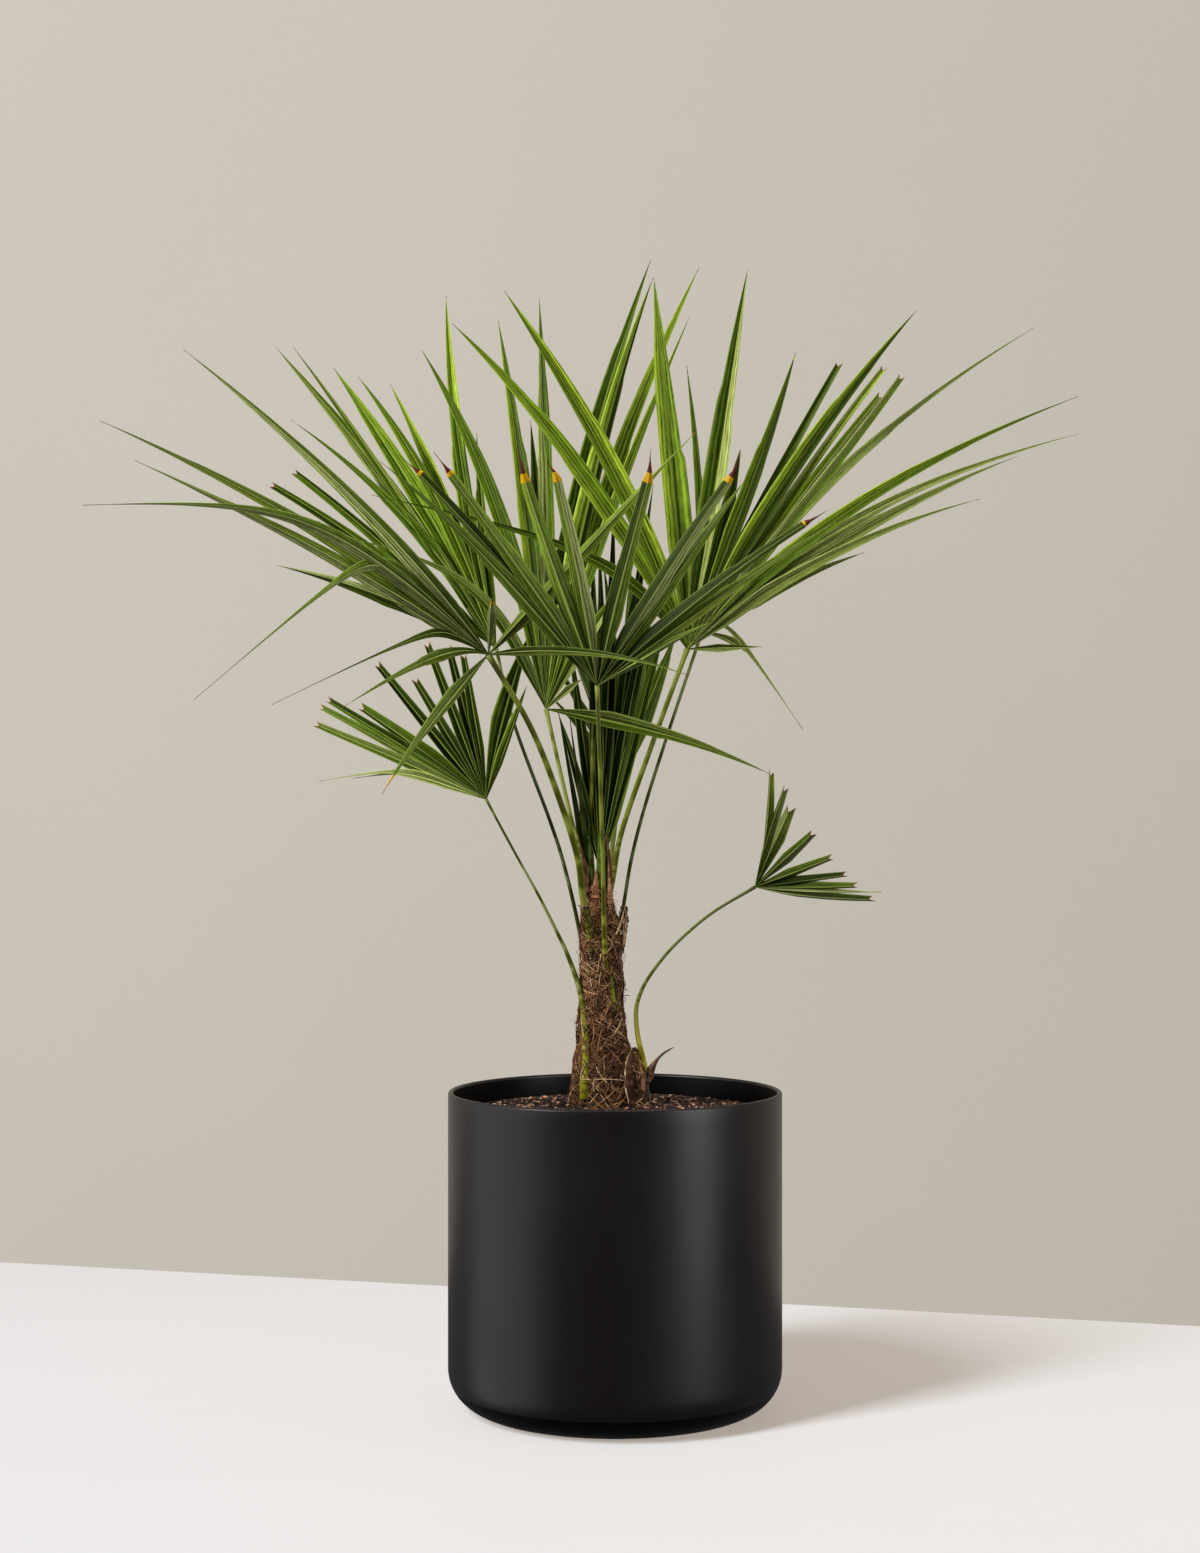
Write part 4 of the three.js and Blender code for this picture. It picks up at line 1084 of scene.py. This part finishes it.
def smoothRoute(points, steps):  # a centripetal curve through the points
    points = [np.array(p, float) for p in points]
    ends = [2 * points[0] - points[1]] + points + [2 * points[-1] - points[-2]]
    made = []
    for i in range(steps + 1):
        place = (len(points) - 1) * i / steps
        k = min(int(place), len(points) - 2)
        w = place - k
        p = ends[k:k + 4]
        gaps = [max(np.linalg.norm(p[j + 1] - p[j]) ** 0.5, 1e-4) for j in range(3)]
        t1 = ((p[1] - p[0]) / gaps[0] - (p[2] - p[0]) / (gaps[0] + gaps[1]) + (p[2] - p[1]) / gaps[1]) * gaps[1]
        t2 = ((p[2] - p[1]) / gaps[1] - (p[3] - p[1]) / (gaps[1] + gaps[2]) + (p[3] - p[2]) / gaps[2]) * gaps[1]
        c2 = -3 * p[1] + 3 * p[2] - 2 * t1 - t2
        c3 = 2 * p[1] - 2 * p[2] + t1 + t2
        made.append(p[1] + t1 * w + c2 * w * w + c3 * w ** 3)
    return np.array(made)


def seenRoute(points):
    return [onSight(np.float64(x), np.float64(z), np.float64(depth)) for x, z, depth in points]


def limbRings(route, thickness, section, steps):  # rings along a route, in metres
    line = smoothRoute(route, steps)
    forward = unit(np.gradient(line, axis=0))
    side = np.array([1.0, 0, 0])
    rings = []
    for i in range(steps + 1):
        along = i / steps
        a = unit(np.cross(forward[i], side))
        b = np.cross(forward[i], a)

        def ring(share, i=i, along=along, a=a, b=b):
            reach = thickness(along) * section(share, along)
            turn = math.tau * share
            return Vector((line[i] + a * reach[0] * math.cos(turn) + b * reach[1] * math.sin(turn)) * mm)

        rings.append(ring)
    return rings, line


def stalkGroup():
    group, given, out = newGroup(
        "stalkSkin",
        [("Foot", "Color", (1, 1, 0, 1)), ("Base", "Color", (0, 1, 0, 1)), ("Tip", "Color", (0, 1, 0, 1))])
    place = addNode(group, "UVMap", {"uv_map": "skin"}).outputs[0]
    parts = addNode(group, "SeparateXYZ", {}, {"Vector": place}).outputs
    ring = addNode(group, "CombineXYZ", {}, {  # the turn round the stalk as a circle, so the pattern has no seam
        "X": calc(group, "COSINE", calc(group, "MULTIPLY", parts[0], math.tau)),
        "Y": calc(group, "SINE", calc(group, "MULTIPLY", parts[0], math.tau)), "Z": parts[1]}).outputs[0]
    streaks = grainAt(group, ring, (3, 3, 0.4), 2)
    mottle = grainAt(group, ring, (0.8, 0.8, 1.2), 2)
    body = mixColours(group, fade(group, parts[1], 0.12, 0.42), given["Foot"], given["Base"])
    body = mixColours(group, fade(group, parts[1], 0.7, 1.0), body, given["Tip"])
    shade = calc(group, "ADD", fade(group, streaks, 0.3, 0.7, 0.84, 1.18), fade(group, mottle, 0.3, 0.7, -0.05, 0.05))
    group.links.new(mixColours(group, 1.0, body, shade, "MULTIPLY"), out["Color"])
    group.links.new(fade(group, streaks, 0.3, 0.7, 0.36, 0.52), out["Roughness"])
    group.links.new(streaks, out["Height"])
    return group


stalkSkin = stalkGroup()


def stalkSection(share, along):  # round below, with a shallow channel above
    turn = math.tau * share
    channel = 1 - 0.16 * max(0, math.cos(turn)) ** 2
    return np.array([channel, 1.0])


def sweptPiece(name, route, thickness, section, look, nodes, sides, steps):
    rings, line = limbRings(route, thickness, section, steps)
    built = extrudeRings(sides, rings)
    lengths = np.concatenate([[0], np.cumsum(np.linalg.norm(np.diff(line, axis=0), axis=1))])
    lengths /= lengths[-1]
    layer = built.loops.layers.uv.new("skin")
    corner = built.verts.layers.int["corner"]
    lineMetres = line * mm
    for face in built.faces:
        corners = [loop.vert[corner] for loop in face.loops]
        wraps = max(corners) - min(corners) > sides / 2 and len(corners) == 4
        for loop, place in zip(face.loops, corners):
            nearest = np.argmin(np.linalg.norm(lineMetres - np.array(loop.vert.co), axis=1))
            share = (place + (sides if wraps and place < sides / 2 else 0)) / sides
            loop[layer].uv = (share, lengths[nearest])
    mesh = meshFrom(name, built)
    mesh.materials.append(look)
    return finishPiece(name, mesh, nodes)


def buildStalks():
    looks = {key: newMaterial("stalk" + key, stalkSkin, dict(zip(("Foot", "Base", "Tip"), colours)), (0.25, 0.0003),
                              stalks["gloss"]) for key, colours in stalks["colours"].items()}
    for name, frond in fronds.items():
        if "stalk" not in frond:
            continue
        hub = onBlade(frond, np.float64(0), np.float64(0), 0)
        route = seenRoute(frond["stalk"]) + [hub]
        thick, thin, power = (*frond["thick"], 1)[:3]

        def thickness(along, thick=thick, thin=thin, power=power):
            flare = 1 + 0.35 * math.exp(-(1 - along) / 0.02)
            return (thin + (thick - thin) * (1 - along) ** power) * flare

        look = looks.get(name, looks[""])
        sweptPiece(f"petiole_{name}", route, thickness, stalkSection, look, [f"stalk_{name}"],
                   stalks["sides"], stalks["steps"])


buildStalks()
print("stalks set")


# The unopened leaf, the green and dry pieces round the trunk, and the fibre over them

spear = {"route": [(-17, 452, 9), (-21, 490, 16), (-20, 615, 24)], "thick": (3.8, 1.2)}
oldBase = {"route": [(20, 262, -8), (20, 292, -7), (14, 322, -5)], "thick": (13, 5)}
bract = {"route": [(26, 284, -5), (33, 304, -7), (42, 316, -8), (53, 323, -8)], "halfWidth": 5.0}
shards = {  # route as seen, half width, flatness, colour
    "sheathA": ([(-17.5, 450, -14), (-17.5, 466, -14), (-16.5, 485, -10)], 4.0, 0.2, srgb(150, 98, 68)),
    "sheathB": ([(-4, 446, -13), (-4.5, 462, -12), (-6, 488, -9)], 3.0, 0.2, srgb(160, 112, 78)),
    "sheathC": ([(-22, 448, -9), (-27, 486, -8), (-33, 513, -6)], 2.4, 0.3, srgb(88, 50, 33)),
    "sheathD": ([(-4, 462, -9), (-5, 490, -8), (-8, 516, -6)], 2.2, 0.3, srgb(112, 70, 48)),
    "cuffEdge": ([(1, 424, -14), (5, 434, -12), (9, 450, -6)], 0.9, 0.6, srgb(208, 170, 126)),
    "cuffFlap": ([(8, 412, -8), (9.5, 428, -6), (10, 446, -2)], 1.3, 0.4, srgb(188, 148, 104)),
    "baseEdge": ([(13, 268, -21), (9, 292, -21), (10, 309, -18), (15, 322, -13)], 1.1, 0.5, srgb(218, 190, 146)),
    "baseFlap": ([(17, 266, -21), (13, 292, -21), (13, 309, -18), (17, 323, -12)], 4.2, 0.3, srgb(74, 44, 28)),
    "baseShard": ([(24, 272, -17), (25, 296, -16), (20, 318, -11)], 2.6, 0.35, srgb(120, 82, 54)),
}
greens = {  # leaf bases between the stalks and under the fibre: route as seen, half width, flatness, colours
    "budFront": ([(-14, 440, -8), (-14, 478, -9), (-13, 530, -8)], 4.6, 0.5, (96, 112, 34), (74, 98, 30)),
    "budLeft": ([(-19, 440, -5), (-21, 478, -6), (-24, 530, -6)], 3.6, 0.6, (70, 84, 26), (52, 70, 20)),
    # the two blades below fill a gap deep in the crown; their near-black green is partly painted shade
    "bladeOuter": ([(-27, 466, 8), (-31, 512, 10), (-51, 626, 18)], 4.6, 0.3, (50, 58, 6), (46, 56, 6)),
    "bladeInner": ([(-24, 466, 6), (-27, 512, 8), (-41, 622, 15)], 3.8, 0.3, (42, 50, 6), (40, 48, 6)),
    "budRight": ([(-7, 440, -5), (-7, 478, -5), (-6, 525, -3)], 3.4, 0.6, (88, 104, 30), (60, 80, 22)),
    "oldStalk": ([(-1, 352, -17.5), (-3, 378, -16.8), (-6, 404, -16)], 2.6, 0.5, (124, 130, 26), (112, 130, 26)),
}
sleeves = {  # strands wound over a limb: route, radii, strands, share of its height
    "oldBase": (oldBase["route"], oldBase["thick"], 520, 1.0),
    "cuff": ([(3, 404, -2), (5.5, 425, 1), (8, 450, 6)], (4.5, 2.5), 130, 1.0),
    "low_left": (fronds["low_left"]["stalk"], (5.3, 3.4), 125, 0.34),
    "front": (fronds["front"]["stalk"], (4.0, 3.6), 60, 0.3),
    "left": (fronds["left"]["stalk"], (4.8, 4.6), 60, 0.2),
    "low_right": (fronds["low_right"]["stalk"], (3.8, 3.2), 24, 0.12),
}


def tapering(ends):
    return lambda along: ends[0] + (ends[1] - ends[0]) * along


def spindle(width):  # pointed at both ends
    return lambda along: width * min(1, 0.15 + along / 0.25) * (1 - along ** 1.6) + 0.15


def flattened(flatness):
    return lambda share, along: np.array([flatness * (1 + 0.12 * math.sin(9 * along)), 1.0])


def pleated(share, along):
    wave = 1 + 0.1 * math.cos(math.tau * share * 6)
    return np.array([wave, wave])


def rough(share, along):
    lump = 1 + 0.12 * noise.noise(Vector((math.cos(math.tau * share) * 2, math.sin(math.tau * share) * 2, along * 7)))
    return np.array([lump, lump])


def curled(share, along):
    turn = math.tau * share
    return np.array([0.5 + 0.3 * math.sin(turn * 2 + along * 5), 0.75 + 0.35 * math.sin(along * 6 + 1)])


def buildFootPieces():
    spearLook = newMaterial("spearGreen", stalkSkin, {"Foot": srgb(142, 138, 44), "Base": srgb(120, 116, 34),
                                                      "Tip": srgb(78, 84, 20)}, (0.4, 0.0004), 0.12)
    huskLook = newMaterial("huskFibre", dryGrain, {"Base": srgb(60, 38, 24)}, (0.6, 0.0006))
    bractLook = newMaterial("bractSkin", dryGrain, {"Base": srgb(110, 82, 56)}, (0.6, 0.0006))
    sweptPiece("spearLeaf", seenRoute(spear["route"]), tapering(spear["thick"]), pleated, spearLook,
               ["spear_leaf"], 24, 40)
    sweptPiece("oldLeafBase", seenRoute(oldBase["route"]), tapering(oldBase["thick"]), rough, huskLook,
               ["old_leaf_base"], 40, 40)
    sweptPiece("dryBract", seenRoute(bract["route"]), spindle(bract["halfWidth"]), curled, bractLook,
               ["dry_bract"], 24, 30)
    for name, (route, width, flatness, colour) in shards.items():
        look = newMaterial(name, dryGrain, {"Base": colour}, (0.6, 0.0006), 0.3)
        sweptPiece(name, seenRoute(route), spindle(width), flattened(flatness), look, [], 12, 22)
    for name, (route, width, flatness, foot, tip) in greens.items():
        colours = {"Foot": srgb(*foot), "Base": srgb(*tip), "Tip": srgb(*tip)}
        look = newMaterial(name, stalkSkin, colours, (0.4, 0.0004), 0.1)
        sweptPiece(name, seenRoute(route), spindle(width), flattened(flatness), look, [], 16, 24)


def ringAlong(route, thick):  # like trunkRing for an upright limb
    line = smoothRoute(seenRoute(route), 40) * mm
    heights = line[:, 2] - line[0, 2]

    def ring(height, angle):
        centre = np.array([np.interp(height, heights, line[:, k]) for k in range(3)])
        radius = np.interp(height, (0, heights[-1]), thick) * mm
        return centre, np.array([math.cos(angle), math.sin(angle), 0]), radius

    return ring, heights[-1]


def buildStrands():
    dice = np.random.default_rng(trunk["seed"])
    paths = [strandPaths(dice, trunk["strands"], trunk["strandLength"], trunk["strandLift"], (-0.04, 0.95),
                         trunkRing, trunkTop)]
    for route, thick, count, share in sleeves.values():
        ring, top = ringAlong(route, thick)
        paths.append(strandPaths(dice, count, trunk["sleeveLength"], trunk["sleeveLift"], (0.0, 1.0), ring,
                                 top * share))
    mats = sum(len(part) for part in paths)
    paths.append(strandPaths(dice, trunk["hairs"], trunk["hairLength"], trunk["hairLift"], (0.0, 0.97),
                             trunkRing, trunkTop))
    paths = np.concatenate(paths)
    steps = trunk["strandSteps"]
    taper = np.sin(np.linspace(0.25, math.pi - 0.15, steps))
    thick = np.concatenate([dice.uniform(*trunk["strandRadius"], mats),
                            dice.uniform(*trunk["hairRadius"], len(paths) - mats)])
    places, faces, caps = tubesFromPaths(paths, thick[:, None] * (0.35 + 0.65 * taper))
    tones = dice.choice(len(trunk["strandShares"]), len(paths), p=trunk["strandShares"])
    perFace = np.repeat(tones, (steps - 1) * 3)
    looks = np.concatenate([perFace, perFace, np.repeat(tones, 2)])
    materials = [newMaterial(f"strand{i}", dryGrain, {"Base": tone}, (0.3, 0.0002), 0.25)
                 for i, tone in enumerate(trunk["strandColours"])]
    mesh = joinedMesh("fibreStrands", places, triangles(faces, caps), materials, looks)
    return finishPiece("fibreStrands", mesh, [])


buildFootPieces()
buildStrands()
print("dry pieces and fibre laid over the stalks' feet")
